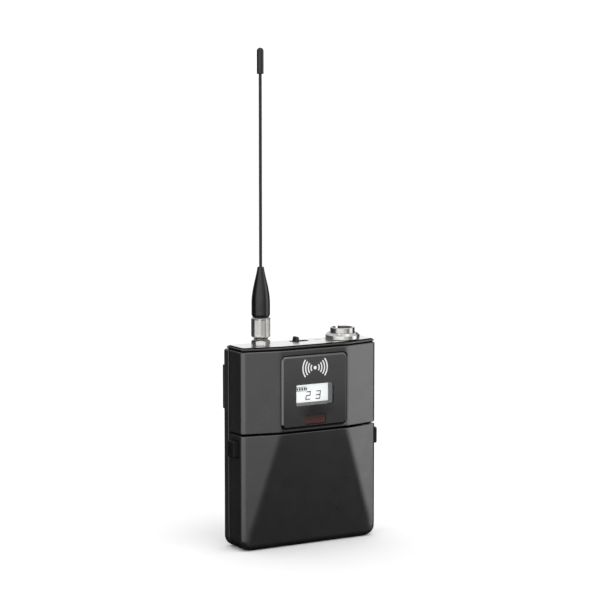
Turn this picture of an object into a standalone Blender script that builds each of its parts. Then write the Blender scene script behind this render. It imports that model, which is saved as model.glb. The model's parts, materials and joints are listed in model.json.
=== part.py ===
"""Wireless bodypack transmitter, as an assembly of separate pieces.

The case stands on its bottom face, with the antenna up. +Z is up, the front faces -Y, and +X is to the
right seen from the front. The origin is the middle of the face it stands on. Lengths below are in
millimetres, angles in degrees; the helpers turn them into metres.
"""
import math

import bmesh
import bpy
from mathutils import Matrix, Vector

MM = 0.001
MERGE = 0.00001

# Case envelope
CASE_HALF = 33.0          # half of the width
CASE_TOP = 84.3           # top of the case walls
DECK_TOP = 86.0           # top of the deck
FACET_HALF = 16.0         # half width of the flat middle facet
FRONT_Y = -9.5            # middle facet
CORNER_Y = -5.6           # side facets end here, at the case's sides
REAR_Y = 9.6              # back face
TOE_Y = -5.95             # the door's middle plane leans back to here at the bottom
SIDE_RADIUS = 2.8         # vertical front edges
REAR_RADIUS = 1.6         # vertical back edges
BOTTOM_RADIUS = 4.8       # bottom corners, seen from the front
TOP_RADIUS = 1.0          # top corners, seen from the front
SOFT_RADIUS = 10.0        # soft edges between the facets

# Walls, seams and clearances
WALL = 1.3
DOOR_WALL = 1.2
REAR_WALL = 1.0
REAR_SIDE_WALL = 1.4
SEAM_Z = 49.4             # between the upper front and the battery door
SEAM_GAP = 0.8
FRONT_BACK_Y = 5.1        # the front pieces end here
REAR_FRONT_Y = 5.7        # the rear housing starts here
GAP = 0.3                 # between pieces at rest
SLIP = 0.2                # between small fitted pieces

# Deck
CAP_BACK_Y = 8.4          # back of the cap's lip
LIP_INSET = 0.35          # the lip covers the case's rim
LIP_GAP = 0.5             # between the case's rim and the lip
LIP_TOP = 85.6
LIP_EDGE = 0.5
PLUG_INSET = 1.65         # the plug goes down inside the walls
PLUG_BOTTOM = 83.0
DECK_INSET = 1.35
DECK_FLOOR = 84.9
DECK_PLATE_BOTTOM = 85.2
ANTENNA_X = -20.55
INPUT_X = 19.3
SWITCH_X = -0.5
SWITCH_Y = 2.8
SWITCH_TRAVEL = 3.0
LIGHT_X = 8.8
LIGHT_RADIUS = 1.1

# Antenna
JACK_RADIUS = 3.1
JACK_TOP = 94.6
NUT_RADIUS = 4.05
NUT_BOTTOM = 89.4
NUT_TOP = 97.9
BOOT_BOTTOM = 98.1
BOOT_TOP = 118.9
BOOT_RADIUS = 3.9
BOOT_NECK = 1.4            # boot's radius at its top
BOOT_SHOULDER = 103.5     # height where the boot reaches its full radius
BOOT_FULLNESS = 0.78      # below 1 the taper is fuller near the shoulder
WHIP_RADIUS = 0.72
WHIP_BORE = 0.92
TIP_BOTTOM = 198.7
TIP_TOP = 209.5
TIP_RADIUS = 1.42

# Microphone input
BARREL_RADIUS = 5.3
BARREL_BORE = 4.3
BARREL_TOP = 91.0
FLANGE_RADIUS = 7.4
FLANGE_TOP = 88.8
INPUT_PIN_RADIUS = 0.5
INPUT_PIN_CIRCLE = 2.3
INPUT_PIN_TOP = 86.5

# Display
BEZEL_HALF = 15.8
BEZEL_LOW = 51.2
BEZEL_HIGH = 81.5
BEZEL_RADIUS = 2.0
BEZEL_FRONT_Y = -9.85
BEZEL_BACK_Y = -8.9
WINDOW_HALF = 9.15
WINDOW_LOW = 60.4
WINDOW_HIGH = 69.5
LCD_Y = -6.0
INFRARED_X = 0.25
INFRARED_HALF = 5.15
INFRARED_LOW = 52.3
INFRARED_HIGH = 56.5

# Cells and their compartment
CELL_RADIUS = 7.0
CELL_LENGTH = 50.5
CELL_Y = 1.2
LOWER_CELL_Z = 21.9
UPPER_CELL_Z = 36.7
SPRING_WIRE = 0.3
SPRING_LENGTH = 1.5
SPRING_RADIUS = 2.4
TRAY_HALF = 31.0
TRAY_LOW = 12.8
TRAY_HIGH = 45.1
LEFT_CONTACT_X = -28.3
RIGHT_CONTACT_X = 25.4
CONTACT_THICK = 0.4

# Door hinge and latches
HINGE_Y = 2.4
HINGE_Z = 2.7
KNUCKLE_RADIUS = 2.7
LUG_RADIUS = 2.3
LUG_LOW_X = 18.5
LUG_HIGH_X = 23.0
HINGE_PIN_RADIUS = 0.75
LATCH_LOW = 40.2
LATCH_HIGH = 47.0
LATCH_FRONT_Y = -2.7
LATCH_BACK_Y = 2.2
LATCH_OUT_X = 34.8
LATCH_SPRING_Z = 46.8

# Menu buttons, beside the cells
BUTTON_X = 28.9
BUTTON_ZS = {"menu_button": 30.0, "enter_button": 20.0}
BUTTON_RADIUS = 1.25

# Belt clip
CLIP_AXIS_Y = 11.9
CLIP_AXIS_Z = 67.0
CLIP_HALF = 30.5
CLIP_LUG_NOSE = 1.9       # the lugs reach this far behind the axis
CLIP_LUG_FLAT = 1.2
CLIP_THICK = 1.2
CLIP_Y = 14.6             # middle of the plate's thickness
CLIP_TOP = 76.6
CLIP_BRIDGE_LOW = 58.0
CLIP_TONGUE_HALF = 17.0
CLIP_TONGUE_LOW = 13.5
CLIP_NOSE_GAP = 0.5       # between the clip's ears and the back

# Case screws, from the back: (x, z)
SCREWS = ((-28.4, 77.5), (28.4, 77.5), (-27.2, 9.0), (27.2, 9.0))
SCREW_TIP_Y = 3.4
SCREW_HEAD_Y = 8.1         # underside of the head

for old in list(bpy.data.objects):
    bpy.data.objects.remove(old, do_unlink=True)

PARTS = bpy.data.collections.new("wireless_bodypack_transmitter")
CUTTERS = bpy.data.collections.new("cutters")
bpy.context.scene.collection.children.link(PARTS)
bpy.context.scene.collection.children.link(CUTTERS)


# ---- Materials ---------------------------------------------------------------------------------------

def material(name, color, roughness, metallic=0.0, alpha=1.0):
    made = bpy.data.materials.new(name)
    made.use_nodes = True
    shader = made.node_tree.nodes["Principled BSDF"]
    shader.inputs["Base Color"].default_value = (*color, 1.0)
    shader.inputs["Roughness"].default_value = roughness
    shader.inputs["Metallic"].default_value = metallic
    shader.inputs["Alpha"].default_value = alpha
    made.diffuse_color = (*color, alpha)
    return made


LOOKS = {
    "case_paint": ((0.035, 0.035, 0.037), 0.45, 0.3),
    "black_plastic": ((0.02, 0.02, 0.02), 0.5, 0.0),
    "satin_metal": ((0.80, 0.80, 0.80), 0.3, 1.0),
    "bright_nickel": ((0.75, 0.74, 0.72), 0.2, 1.0),
    "gold": ((0.85, 0.65, 0.30), 0.25, 1.0),
    "rubber": ((0.015, 0.015, 0.015), 0.6, 0.0),
    "window_black": ((0.02, 0.02, 0.022), 0.1, 0.0),
    "lcd_white": ((0.85, 0.87, 0.86), 0.4, 0.0),
    "frame_grey": ((0.55, 0.56, 0.56), 0.5, 0.0),
    "infrared_red": ((0.12, 0.01, 0.01), 0.1, 0.0),
    "board_green": ((0.02, 0.15, 0.06), 0.4, 0.0),
    "tin": ((0.6, 0.6, 0.6), 0.35, 1.0),
    "cell_wrap": ((0.30, 0.31, 0.33), 0.3, 0.2),
    "insulator": ((0.03, 0.03, 0.03), 0.5, 0.0),
    "steel": ((0.45, 0.45, 0.45), 0.3, 1.0),
    "clip_steel": ((0.03, 0.03, 0.03), 0.4, 0.5),
}


# ---- Shapes ------------------------------------------------------------------------------------------

TURN_TO_X = Matrix(((0, 0, 1, 0), (1, 0, 0, 0), (0, 1, 0, 0), (0, 0, 0, 1)))


def rounded(corners, steps=4):
    """Points of an outline whose corners (u, v, radius) are rounded with arcs."""
    points = []
    for i, (u, v, radius) in enumerate(corners):
        here = Vector((u, v))
        if radius <= 0:
            points.append(here)
            continue
        before = (Vector(corners[i - 1][:2]) - here).normalized()
        after = (Vector(corners[(i + 1) % len(corners)][:2]) - here).normalized()
        half = before.angle(after) / 2
        centre = here + (before + after).normalized() * radius / math.sin(half)
        start = here + before * radius / math.tan(half) - centre
        end = here + after * radius / math.tan(half) - centre
        sweep = start.angle_signed(end)
        for k in range(steps + 1):
            points.append(centre + Matrix.Rotation(-sweep * k / steps, 2) @ start)
    return points


def rectangle(low_u, low_v, high_u, high_v, radius):
    places = ((low_u, low_v), (high_u, low_v), (high_u, high_v), (low_u, high_v))
    return tuple((u, v, radius) for u, v in places)


def inset(corners, distance):
    """A counter-clockwise outline moved inwards by a distance; convex corner radii shrink with it."""
    moved = []
    for i, (u, v, radius) in enumerate(corners):
        here = Vector((u, v))
        into = (here - Vector(corners[i - 1][:2])).normalized()
        away = (Vector(corners[(i + 1) % len(corners)][:2]) - here).normalized()
        normal = (into.orthogonal() + away.orthogonal()).normalized()
        shift = normal * distance / normal.dot(into.orthogonal())
        moved.append((u + shift.x, v + shift.y, max(radius - distance, 0.3) if radius > 0 else 0))
    return moved


def new_object(name, mesh):
    made = bpy.data.objects.new(name, mesh)
    CUTTERS.objects.link(made)
    made.hide_render = True
    made.display_type = "WIRE"
    return made


def from_bmesh(name, bm):
    bmesh.ops.recalc_face_normals(bm, faces=bm.faces)
    mesh = bpy.data.meshes.new(name)
    bm.to_mesh(mesh)
    bm.free()
    return new_object(name, mesh)


def solid_from_curve(name, curve, matrix=None):
    """Turn a curve into a closed mesh object, welding its caps."""
    holder = bpy.data.objects.new(name + "_curve", curve)
    CUTTERS.objects.link(holder)
    graph = bpy.context.evaluated_depsgraph_get()
    mesh = bpy.data.meshes.new_from_object(holder.evaluated_get(graph))
    bm = bmesh.new()
    bm.from_mesh(mesh)
    bmesh.ops.remove_doubles(bm, verts=bm.verts, dist=MERGE)
    if matrix:
        bmesh.ops.transform(bm, matrix=matrix, verts=bm.verts)
    bpy.data.objects.remove(holder)
    bpy.data.meshes.remove(mesh)
    return from_bmesh(name, bm)


def prism(name, corners, axis, low, high, steps=4):
    """An outline pushed along an axis: (x, y) along Z, (x, z) along Y or (y, z) along X."""
    curve = bpy.data.curves.new(name, "CURVE")
    curve.dimensions = "2D"
    curve.fill_mode = "BOTH"
    curve.extrude = (high - low) / 2 * MM
    points = rounded(corners, steps)
    spline = curve.splines.new("POLY")
    spline.points.add(len(points) - 1)
    spline.use_cyclic_u = True
    for point, place in zip(spline.points, points):
        point.co = (place.x * MM, place.y * MM, 0, 1)
    middle = (low + high) / 2 * MM
    turns = {
        "Z": Matrix.Translation((0, 0, middle)),
        "Y": Matrix.Translation((0, middle, 0)) @ Matrix.Rotation(math.radians(90), 4, "X"),
        "X": Matrix.Translation((middle, 0, 0)) @ TURN_TO_X,
    }
    return solid_from_curve(name, curve, turns[axis])


def slab(name, low, high):
    """A box between two corners."""
    bm = bmesh.new()
    bmesh.ops.create_cube(bm, size=MM)
    size = Vector(high) - Vector(low)
    middle = (Vector(high) + Vector(low)) / 2 * MM
    bmesh.ops.transform(bm, matrix=Matrix.Translation(middle) @ Matrix.Diagonal((*size, 1)), verts=bm.verts)
    return from_bmesh(name, bm)


def rod(name, radius, start, end, segments=24, end_radius=None):
    """A round rod, or a cone, between two points."""
    start = Vector(start) * MM
    end = Vector(end) * MM
    along = end - start
    bm = bmesh.new()
    bmesh.ops.create_cone(
        bm,
        cap_ends=True,
        segments=segments,
        radius1=radius * MM,
        radius2=(radius if end_radius is None else end_radius) * MM,
        depth=along.length,
    )
    turn = along.to_track_quat("Z", "Y").to_matrix().to_4x4()
    bmesh.ops.transform(bm, matrix=Matrix.Translation((start + end) / 2) @ turn, verts=bm.verts)
    return from_bmesh(name, bm)


def turned(name, profile, centre, segments=24, closed=False, matrix=None):
    """A profile (radius, height), from the top down its outer side, turned about an upright axis."""
    mesh = bpy.data.meshes.new(name)
    count = len(profile)
    edges = [(i, (i + 1) % count) for i in range(count if closed else count - 1)]
    mesh.from_pydata([(r * MM, 0, z * MM) for r, z in profile], edges, [])
    made = new_object(name, mesh)
    screw = made.modifiers.new("turn", "SCREW")
    screw.steps = segments
    screw.render_steps = segments
    screw.use_merge_vertices = True
    screw.merge_threshold = MERGE
    made.matrix_world = Matrix.Translation(Vector(centre) * MM) @ (matrix or Matrix())
    return made


def coil(name, radius, wire, start, end, turns, steps=8):
    """A spring of round wire between two points along X."""
    curve = bpy.data.curves.new(name, "CURVE")
    curve.dimensions = "3D"
    curve.bevel_depth = wire * MM
    curve.bevel_resolution = 1
    curve.use_fill_caps = True
    spline = curve.splines.new("POLY")
    count = turns * steps + 1
    spline.points.add(count - 1)
    for k, point in enumerate(spline.points):
        along = k / (count - 1)
        angle = 2 * math.pi * k / steps
        place = Vector(start).lerp(Vector(end), along)
        place += Vector((0, radius * math.cos(angle), radius * math.sin(angle)))
        point.co = (*(place * MM), 1)
    return solid_from_curve(name, curve)


# ---- Joining shapes into pieces ----------------------------------------------------------------------

def combine(target, operation, others):
    for other in others:
        step = target.modifiers.new(other.name, "BOOLEAN")
        step.operation = operation
        step.solver = "EXACT"
        step.object = other
    return target


def cut(target, *others):
    return combine(target, "DIFFERENCE", others)


def add(target, *others):
    return combine(target, "UNION", others)


def keep(target, *others):
    return combine(target, "INTERSECT", others)


def round_rim(target, height, radius, segments=2):
    """Round the edges of a prism that lie at one height."""
    bm = bmesh.new()
    bm.from_mesh(target.data)
    bmesh.ops.dissolve_limit(bm, angle_limit=math.radians(1), verts=bm.verts, edges=bm.edges)
    rim = [e for e in bm.edges if all(abs(v.co.z - height * MM) < MERGE for v in e.verts)]
    bmesh.ops.bevel(bm, geom=rim, offset=radius * MM, segments=segments, profile=0.5, affect="EDGES")
    bm.to_mesh(target.data)
    bm.free()
    return target


def pivot(name, place):
    empty = bpy.data.objects.new(name, None)
    empty.empty_display_size = 4 * MM
    empty.location = Vector(place) * MM
    PARTS.objects.link(empty)
    return empty


def piece(target, name, look, axis=None):
    """Show a shape as a named piece with its own material, hung from its joint's empty if it moves."""
    CUTTERS.objects.unlink(target)
    PARTS.objects.link(target)
    target.hide_render = False
    target.display_type = "TEXTURED"
    target.name = name
    target.data.name = name
    target.data.materials.clear()
    target.data.materials.append(material(name + "_" + look, *LOOKS[look]))
    target.data.shade_smooth()
    target.data.set_sharp_from_angle(angle=math.radians(35))
    if axis:
        target.parent = axis
        target.matrix_parent_inverse = Matrix.Translation(axis.location).inverted()
    return target


# ---- Outlines of the case ----------------------------------------------------------------------------

PLAN = (
    (-CASE_HALF, CORNER_Y, SIDE_RADIUS),
    (-FACET_HALF, FRONT_Y, SOFT_RADIUS),
    (FACET_HALF, FRONT_Y, SOFT_RADIUS),
    (CASE_HALF, CORNER_Y, SIDE_RADIUS),
    (CASE_HALF, REAR_Y, REAR_RADIUS),
    (-CASE_HALF, REAR_Y, REAR_RADIUS),
)
CAP_PLAN = PLAN[:4] + (
    (CASE_HALF, CAP_BACK_Y + LIP_INSET, REAR_RADIUS),
    (-CASE_HALF, CAP_BACK_Y + LIP_INSET, REAR_RADIUS),
)


def plan_prism(name, distance, low, high):
    """The case seen from above, moved inwards by a distance."""
    return prism(name, inset(PLAN, distance), "Z", low, high)


def front_prism(name, distance, top=CASE_TOP, top_radius=TOP_RADIUS, low_y=-20, high_y=20):
    """The case seen from the front, moved inwards by a distance, with its top at a chosen height."""
    half = CASE_HALF - distance
    radius = BOTTOM_RADIUS - distance
    corners = (
        (-half, distance, radius),
        (half, distance, radius),
        (half, top, top_radius),
        (-half, top, top_radius),
    )
    return prism(name, corners, "Y", low_y, high_y)


def door_front_y(z):
    """The door's middle plane leans from its top edge back to the toe."""
    return TOE_Y + (FRONT_Y - TOE_Y) * z / SEAM_Z


def door_side_prism(name, distance, back_y, back_radius):
    """The battery door seen from the side, moved inwards by a distance."""
    top = SEAM_Z + 10
    corners = (
        (door_front_y(distance) + distance, distance, 2.4 - distance),
        (back_y, distance, back_radius),
        (back_y, top, 0),
        (door_front_y(top) + distance, top, 0),
    )
    return prism(name, corners, "X", -40, 40)


def hinge_bore(name):
    return rod(name, HINGE_PIN_RADIUS + 0.25, (-30, HINGE_Y, HINGE_Z), (30, HINGE_Y, HINGE_Z), 16)


def mirrored(low, high):
    """The two boxes, left and right, of one box given at +X."""
    return (low, high), ((-high[0], *low[1:]), (-low[0], *high[1:]))


# ---- Case --------------------------------------------------------------------------------------------

def make_front_cover():
    cover = plan_prism("cover_body", 0, SEAM_Z + SEAM_GAP / 2, CASE_TOP)
    keep(cover, front_prism("cover_front", 0), slab("cover_depth", (-40, -20, 40), (40, FRONT_BACK_Y, 90)))
    cut(cover, plan_prism("cover_cavity", WALL, SEAM_Z + 1.6, 95))
    for x, z in SCREWS[:2]:
        add(cover, rod("cover_boss", 2.4, (x, -6.3, z), (x, 6.5, z), 16))
        cut(cover, rod("cover_boss_hole", 1.25, (x, SCREW_TIP_Y - 1, z), (x, 9, z), 12))
    frame = rectangle(-BEZEL_HALF, BEZEL_LOW, BEZEL_HALF, BEZEL_HIGH, BEZEL_RADIUS)
    cut(cover, prism("bezel_seat", inset(frame, -SLIP), "Y", -12, BEZEL_BACK_Y + GAP))
    cut(cover, prism("bezel_opening", inset(frame, 1.4), "Y", -12, 0))
    piece(cover, "front_cover", "case_paint")


def make_rear_housing():
    housing = plan_prism("housing_body", 0, -5, CASE_TOP)
    depth = slab("housing_depth", (-40, REAR_FRONT_Y, -10), (40, 20, 90))
    keep(housing, front_prism("housing_front", 0), depth)
    toe = ((0, 0, 0), (REAR_Y, 0, 1.4), (REAR_Y + 1, 95, 0), (0, 95, 0))
    keep(housing, prism("housing_side", toe, "X", -40, 40))
    cavity = front_prism("housing_cavity", REAR_SIDE_WALL, top=95, top_radius=0, high_y=REAR_Y - REAR_WALL)
    cut(housing, cavity)
    for low, high in mirrored((LUG_LOW_X, HINGE_Y, 0.6), (LUG_HIGH_X, 7.0, 5.0)):
        middle = (HINGE_Y, HINGE_Z)
        add(housing, slab("lug_arm", low, high))
        add(housing, rod("lug", LUG_RADIUS, (low[0], *middle), (high[0], *middle)))
    cut(housing, hinge_bore("lug_bore"))
    ear = (
        (9.2, 61.0, 0),
        (CLIP_AXIS_Y + CLIP_LUG_NOSE, CLIP_AXIS_Z - CLIP_LUG_FLAT, CLIP_LUG_NOSE),
        (CLIP_AXIS_Y + CLIP_LUG_NOSE, CLIP_AXIS_Z + CLIP_LUG_FLAT, CLIP_LUG_NOSE),
        (9.2, 73.0, 0),
    )
    for side in (-1, 1):
        ends = sorted((side * 25.9, side * 28.9))
        add(housing, prism("clip_lug", ear, "X", *ends))
        start = (side * 25, CLIP_AXIS_Y, CLIP_AXIS_Z)
        cut(housing, rod("clip_lug_hole", 1.5, start, (side * 30, *start[1:]), 16))
    for x, z in SCREWS:
        add(housing, rod("screw_boss", 3.4, (x, 6.9, z), (x, 9.0, z)))
        cut(housing, rod("screw_hole", 1.3, (x, 6, z), (x, 9, z), 12))
        cut(housing, rod("screw_head_seat", 2.5, (x, 7.9, z), (x, 11, z)))
    piece(housing, "rear_housing", "case_paint")


def deck_holes(name):
    """Cutters for what passes through the deck."""
    yield rod(name + "_jack_hole", JACK_RADIUS + GAP, (ANTENNA_X, 0, 80), (ANTENNA_X, 0, 90))
    yield rod(name + "_input_hole", BARREL_RADIUS + GAP, (INPUT_X, 0, 80), (INPUT_X, 0, 90), 32)
    yield rod(name + "_light_hole", LIGHT_RADIUS + SLIP, (LIGHT_X, SWITCH_Y, 80), (LIGHT_X, SWITCH_Y, 90), 16)


def stem_way(name, low_z):
    """The slot that the power slider's stem runs in."""
    return slab(name, (SWITCH_X - 2.9, SWITCH_Y - 1.1, low_z), (SWITCH_X + 2.9, SWITCH_Y + 1.1, 90))


def cap_prism(name, distance, low, high):
    """The cap seen from above, moved inwards by a distance from the case's sides."""
    return prism(name, inset(CAP_PLAN, distance), "Z", low, high)


def make_top_cap():
    cap = round_rim(cap_prism("cap_lip", LIP_INSET, CASE_TOP + LIP_GAP, LIP_TOP), LIP_TOP, LIP_EDGE)
    add(cap, cap_prism("cap_plug", PLUG_INSET, PLUG_BOTTOM, DECK_FLOOR + SLIP))
    cut(cap, cap_prism("deck_recess", DECK_INSET - SLIP, DECK_FLOOR, 90))
    cut(cap, *deck_holes("cap"))
    cut(cap, stem_way("stem_slot", 80))
    piece(cap, "top_cap", "black_plastic")


def make_deck_plate():
    plate = cap_prism("plate_body", DECK_INSET, DECK_PLATE_BOTTOM, DECK_TOP)
    round_rim(plate, DECK_TOP, 0.15, 1)
    cut(plate, *deck_holes("plate"))
    slot = rectangle(SWITCH_X - 4.5, SWITCH_Y - 2.0, SWITCH_X + 4.5, SWITCH_Y + 2.0, 1.9)
    cut(plate, prism("switch_slot", slot, "Z", 80, 90))
    piece(plate, "deck_plate", "satin_metal")


# ---- Display -----------------------------------------------------------------------------------------

def make_display():
    bezel_outline = rectangle(-BEZEL_HALF, BEZEL_LOW, BEZEL_HALF, BEZEL_HIGH, BEZEL_RADIUS)
    window = rectangle(-WINDOW_HALF, WINDOW_LOW, WINDOW_HALF, WINDOW_HIGH, 0.8)
    infrared_ends = (INFRARED_X - INFRARED_HALF, INFRARED_X + INFRARED_HALF)
    infrared = rectangle(infrared_ends[0], INFRARED_LOW, infrared_ends[1], INFRARED_HIGH, 0.5)

    bezel = prism("bezel_body", bezel_outline, "Y", BEZEL_FRONT_Y, BEZEL_BACK_Y)
    cut(bezel, prism("window_hole", window, "Y", -12, 0), prism("infrared_hole", infrared, "Y", -12, 0))
    piece(bezel, "display_bezel", "window_black")

    lens = prism("lens", inset(window, SLIP), "Y", BEZEL_FRONT_Y + 0.15, BEZEL_BACK_Y - 0.1)
    piece(lens, "display_lens", "window_black")
    red = prism("red", inset(infrared, SLIP), "Y", BEZEL_FRONT_Y + 0.1, BEZEL_BACK_Y - 0.1)
    piece(red, "infrared_window", "infrared_red")

    frame = slab("frame_body", (-12, BEZEL_BACK_Y + GAP, 58.2), (12, LCD_Y - SLIP, 71.7))
    cut(frame, prism("frame_hole", window, "Y", -12, 0))
    piece(frame, "lcd_frame", "frame_grey")
    piece(slab("lcd", (-11, LCD_Y, 59.2), (11, LCD_Y + 1.2, 70.7)), "lcd_panel", "lcd_white")
    piece(slab("display_board", (-14, -4.5, 52.2), (14, -3.3, 79.5)), "display_board", "board_green")
    receiver = slab("receiver", (-2.2, -8.2, 53.0), (2.7, -4.7, 55.8))
    piece(receiver, "infrared_receiver", "black_plastic")


# ---- Electronics -------------------------------------------------------------------------------------

def make_boards():
    board = slab("board", (-30.4, 6.6, 51.6), (30.4, 8.0, 81.5))
    for x, z in SCREWS[:2]:
        cut(board, rod("board_notch", 3.8, (x, 5, z), (x, 10, z)))
    piece(board, "main_circuit_board", "board_green")
    shield = slab("shield", (-25, 2.2, 54), (-5, 6.3, 72))
    cut(shield, slab("shield_inside", (-24.6, 2.6, 54.4), (-5.4, 9, 71.6)))
    piece(shield, "radio_shield", "tin")


# ---- Antenna -----------------------------------------------------------------------------------------

def make_antenna():
    base = (ANTENNA_X, 0, 0)
    jack = (
        (0, 86.0), (0.8, 86.0), (0.8, 91.0), (2.1, 91.0), (2.1, JACK_TOP), (JACK_RADIUS, JACK_TOP),
        (JACK_RADIUS, 82.7), (4.2, 82.7), (4.2, 81.5), (2.6, 81.5), (2.6, 77.0), (0, 77.0),
    )
    piece(turned("jack", jack, base), "antenna_jack", "bright_nickel")

    hex_nut = rod("hex", 4.6, (ANTENNA_X, 0, DECK_TOP + SLIP), (ANTENNA_X, 0, 88.3), 6)
    cut(hex_nut, rod("hex_hole", JACK_RADIUS + SLIP, (ANTENNA_X, 0, 80), (ANTENNA_X, 0, 90)))
    piece(hex_nut, "antenna_jack_nut", "bright_nickel")

    axis = pivot("antenna_axis", (ANTENNA_X, 0, NUT_BOTTOM))
    nut = (
        (2.0, NUT_TOP), (3.4, NUT_TOP), (NUT_RADIUS, NUT_TOP - 0.5), (NUT_RADIUS, NUT_BOTTOM + 0.5),
        (3.6, NUT_BOTTOM), (3.35, NUT_BOTTOM), (3.35, 96.4), (2.0, 96.4),
    )
    piece(turned("nut", nut, base, closed=True), "antenna_nut", "bright_nickel", axis)

    contact = (
        (0, 101.0), (1.8, 101.0), (1.8, 96.2), (3.0, 96.2),
        (3.0, 94.8), (0.45, 94.8), (0.45, 88.0), (0, 88.0),
    )
    piece(turned("contact", contact, base, 16), "antenna_contact", "gold", axis)

    taper = []
    for k in range(9):
        t = k / 8
        z = BOOT_TOP - (BOOT_TOP - BOOT_SHOULDER) * t
        u = t ** BOOT_FULLNESS
        taper.append((BOOT_NECK + (BOOT_RADIUS - BOOT_NECK) * (3 * u * u - 2 * u * u * u), z))
    boot = [(WHIP_BORE, BOOT_TOP)] + taper + [
        (BOOT_RADIUS - 0.03, 99.1), (2.9, BOOT_BOTTOM), (2.0, BOOT_BOTTOM), (2.0, 101.3), (WHIP_BORE, 101.3),
    ]
    piece(turned("boot", boot, base, 20, closed=True), "antenna_boot", "rubber", axis)

    whip = rod("whip", WHIP_RADIUS, (ANTENNA_X, 0, 101.6), (ANTENNA_X, 0, 206.0), 10)
    piece(whip, "antenna_whip", "rubber", axis)

    dome = [(TIP_RADIUS * math.sin(a), TIP_TOP - TIP_RADIUS * (1 - math.cos(a)))
            for a in (math.radians(22.5 * k) for k in range(5))]
    tip = dome + [(TIP_RADIUS, TIP_BOTTOM), (WHIP_BORE, TIP_BOTTOM), (WHIP_BORE, 206.3), (0, 206.3)]
    piece(turned("tip", tip, base, 16), "antenna_tip_cap", "rubber", axis)


# ---- Microphone input --------------------------------------------------------------------------------

def make_input():
    base = (INPUT_X, 0, 0)
    shell = (
        (BARREL_BORE, BARREL_TOP), (5.0, BARREL_TOP), (BARREL_RADIUS, BARREL_TOP - 0.3),
        (BARREL_RADIUS, 82.7), (6.2, 82.7), (6.2, 81.4), (BARREL_RADIUS, 81.4),
        (BARREL_RADIUS, 76.0), (BARREL_BORE, 76.0),
    )
    barrel = turned("shell", shell, base, 32, closed=True)
    cut(barrel, slab("key_slot", (INPUT_X - 0.8, 0, 89.2), (INPUT_X + 0.8, 8, 95)))
    piece(barrel, "input_connector_shell", "bright_nickel")

    ring = (
        (5.5, FLANGE_TOP), (6.4, FLANGE_TOP), (FLANGE_RADIUS, FLANGE_TOP - 1.0),
        (FLANGE_RADIUS, DECK_TOP + SLIP), (5.5, DECK_TOP + SLIP),
    )
    flange = turned("flange", ring, base, 32, closed=True)
    for angle in range(45, 360, 90):
        notch = slab("notch", (5.8, -0.7, FLANGE_TOP - 0.7), (9, 0.7, 95))
        turn = Matrix.Rotation(math.radians(angle), 4, "Z")
        notch.matrix_world = Matrix.Translation(Vector(base) * MM) @ turn
        cut(flange, notch)
    piece(flange, "input_connector_nut", "satin_metal")

    disc = rod("disc", BARREL_BORE - SLIP, (INPUT_X, 0, 77.0), (INPUT_X, 0, 80.0))
    for k in range(4):
        angle = math.radians(45 + 90 * k)
        x = INPUT_X + INPUT_PIN_CIRCLE * math.cos(angle)
        y = INPUT_PIN_CIRCLE * math.sin(angle)
        cut(disc, rod("pin_hole", INPUT_PIN_RADIUS + 0.15, (x, y, 70), (x, y, 85), 10))
        pin = rod("pin", INPUT_PIN_RADIUS, (x, y, 74.5), (x, y, INPUT_PIN_TOP), 10)
        piece(pin, "input_pin_%d" % (k + 1), "gold")
    piece(disc, "input_connector_insulator", "insulator")


# ---- Power switch and light --------------------------------------------------------------------------

def make_power_switch():
    body = slab("switch_body", (SWITCH_X - 5.5, SWITCH_Y - 3, 77.0), (SWITCH_X + 5.5, SWITCH_Y + 3, 82.7))
    cut(body, stem_way("switch_way", 80.8))
    piece(body, "power_switch_body", "black_plastic")

    rest_x = SWITCH_X - SWITCH_TRAVEL / 2
    axis = pivot("power_slide_axis", (rest_x, SWITCH_Y, DECK_TOP))
    base = rectangle(rest_x - 2.4, SWITCH_Y - 1.6, rest_x + 2.4, SWITCH_Y + 1.6, 1.2)
    knob = prism("knob_base", base, "Z", DECK_FLOOR + 0.25, 85.8)
    ridge = (
        (rest_x - 1.0, 85.5, 0), (rest_x + 1.0, 85.5, 0),
        (rest_x + 0.6, 88.0, 0.4), (rest_x - 0.6, 88.0, 0.4),
    )
    add(knob, prism("knob_ridge", ridge, "Y", SWITCH_Y - 1.6, SWITCH_Y + 1.6, 2))
    add(knob, slab("knob_stem", (rest_x - 0.8, SWITCH_Y - 0.8, 81.2), (rest_x + 0.8, SWITCH_Y + 0.8, 85.4)))
    piece(knob, "power_slider", "black_plastic", axis)

    light = rod("light", LIGHT_RADIUS, (LIGHT_X, SWITCH_Y, 80.5), (LIGHT_X, SWITCH_Y, DECK_TOP + 0.15), 16)
    piece(light, "power_status_light", "frame_grey")


# ---- Battery compartment -----------------------------------------------------------------------------

def make_tray():
    tray = slab("tray_body", (-TRAY_HALF, -2.0, TRAY_LOW), (TRAY_HALF, 8.3, TRAY_HIGH))
    low_x = LEFT_CONTACT_X - SLIP
    high_x = RIGHT_CONTACT_X + CONTACT_THICK + SLIP
    cut(tray, slab("cell_room", (low_x, -10, 14.4), (high_x, 9, 44.2)))
    for low, high in mirrored((28.5, -10, 38.7), (40, 4.3, 60)):
        cut(tray, slab("latch_room", low, high))
    cut(tray, slab("control_room", (27.1, -10, 13.8), (30.7, 3.2, 36.4)))
    for low, high in mirrored((24.6, 2.6, 6.0), (30.2, 6.6, TRAY_LOW + 1)):
        add(tray, slab("screw_block", low, high))
    for x, z in SCREWS[2:]:
        cut(tray, rod("tray_screw_hole", 1.25, (x, SCREW_TIP_Y - 0.4, z), (x, 12, z), 12))
    piece(tray, "battery_tray", "black_plastic")


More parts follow.
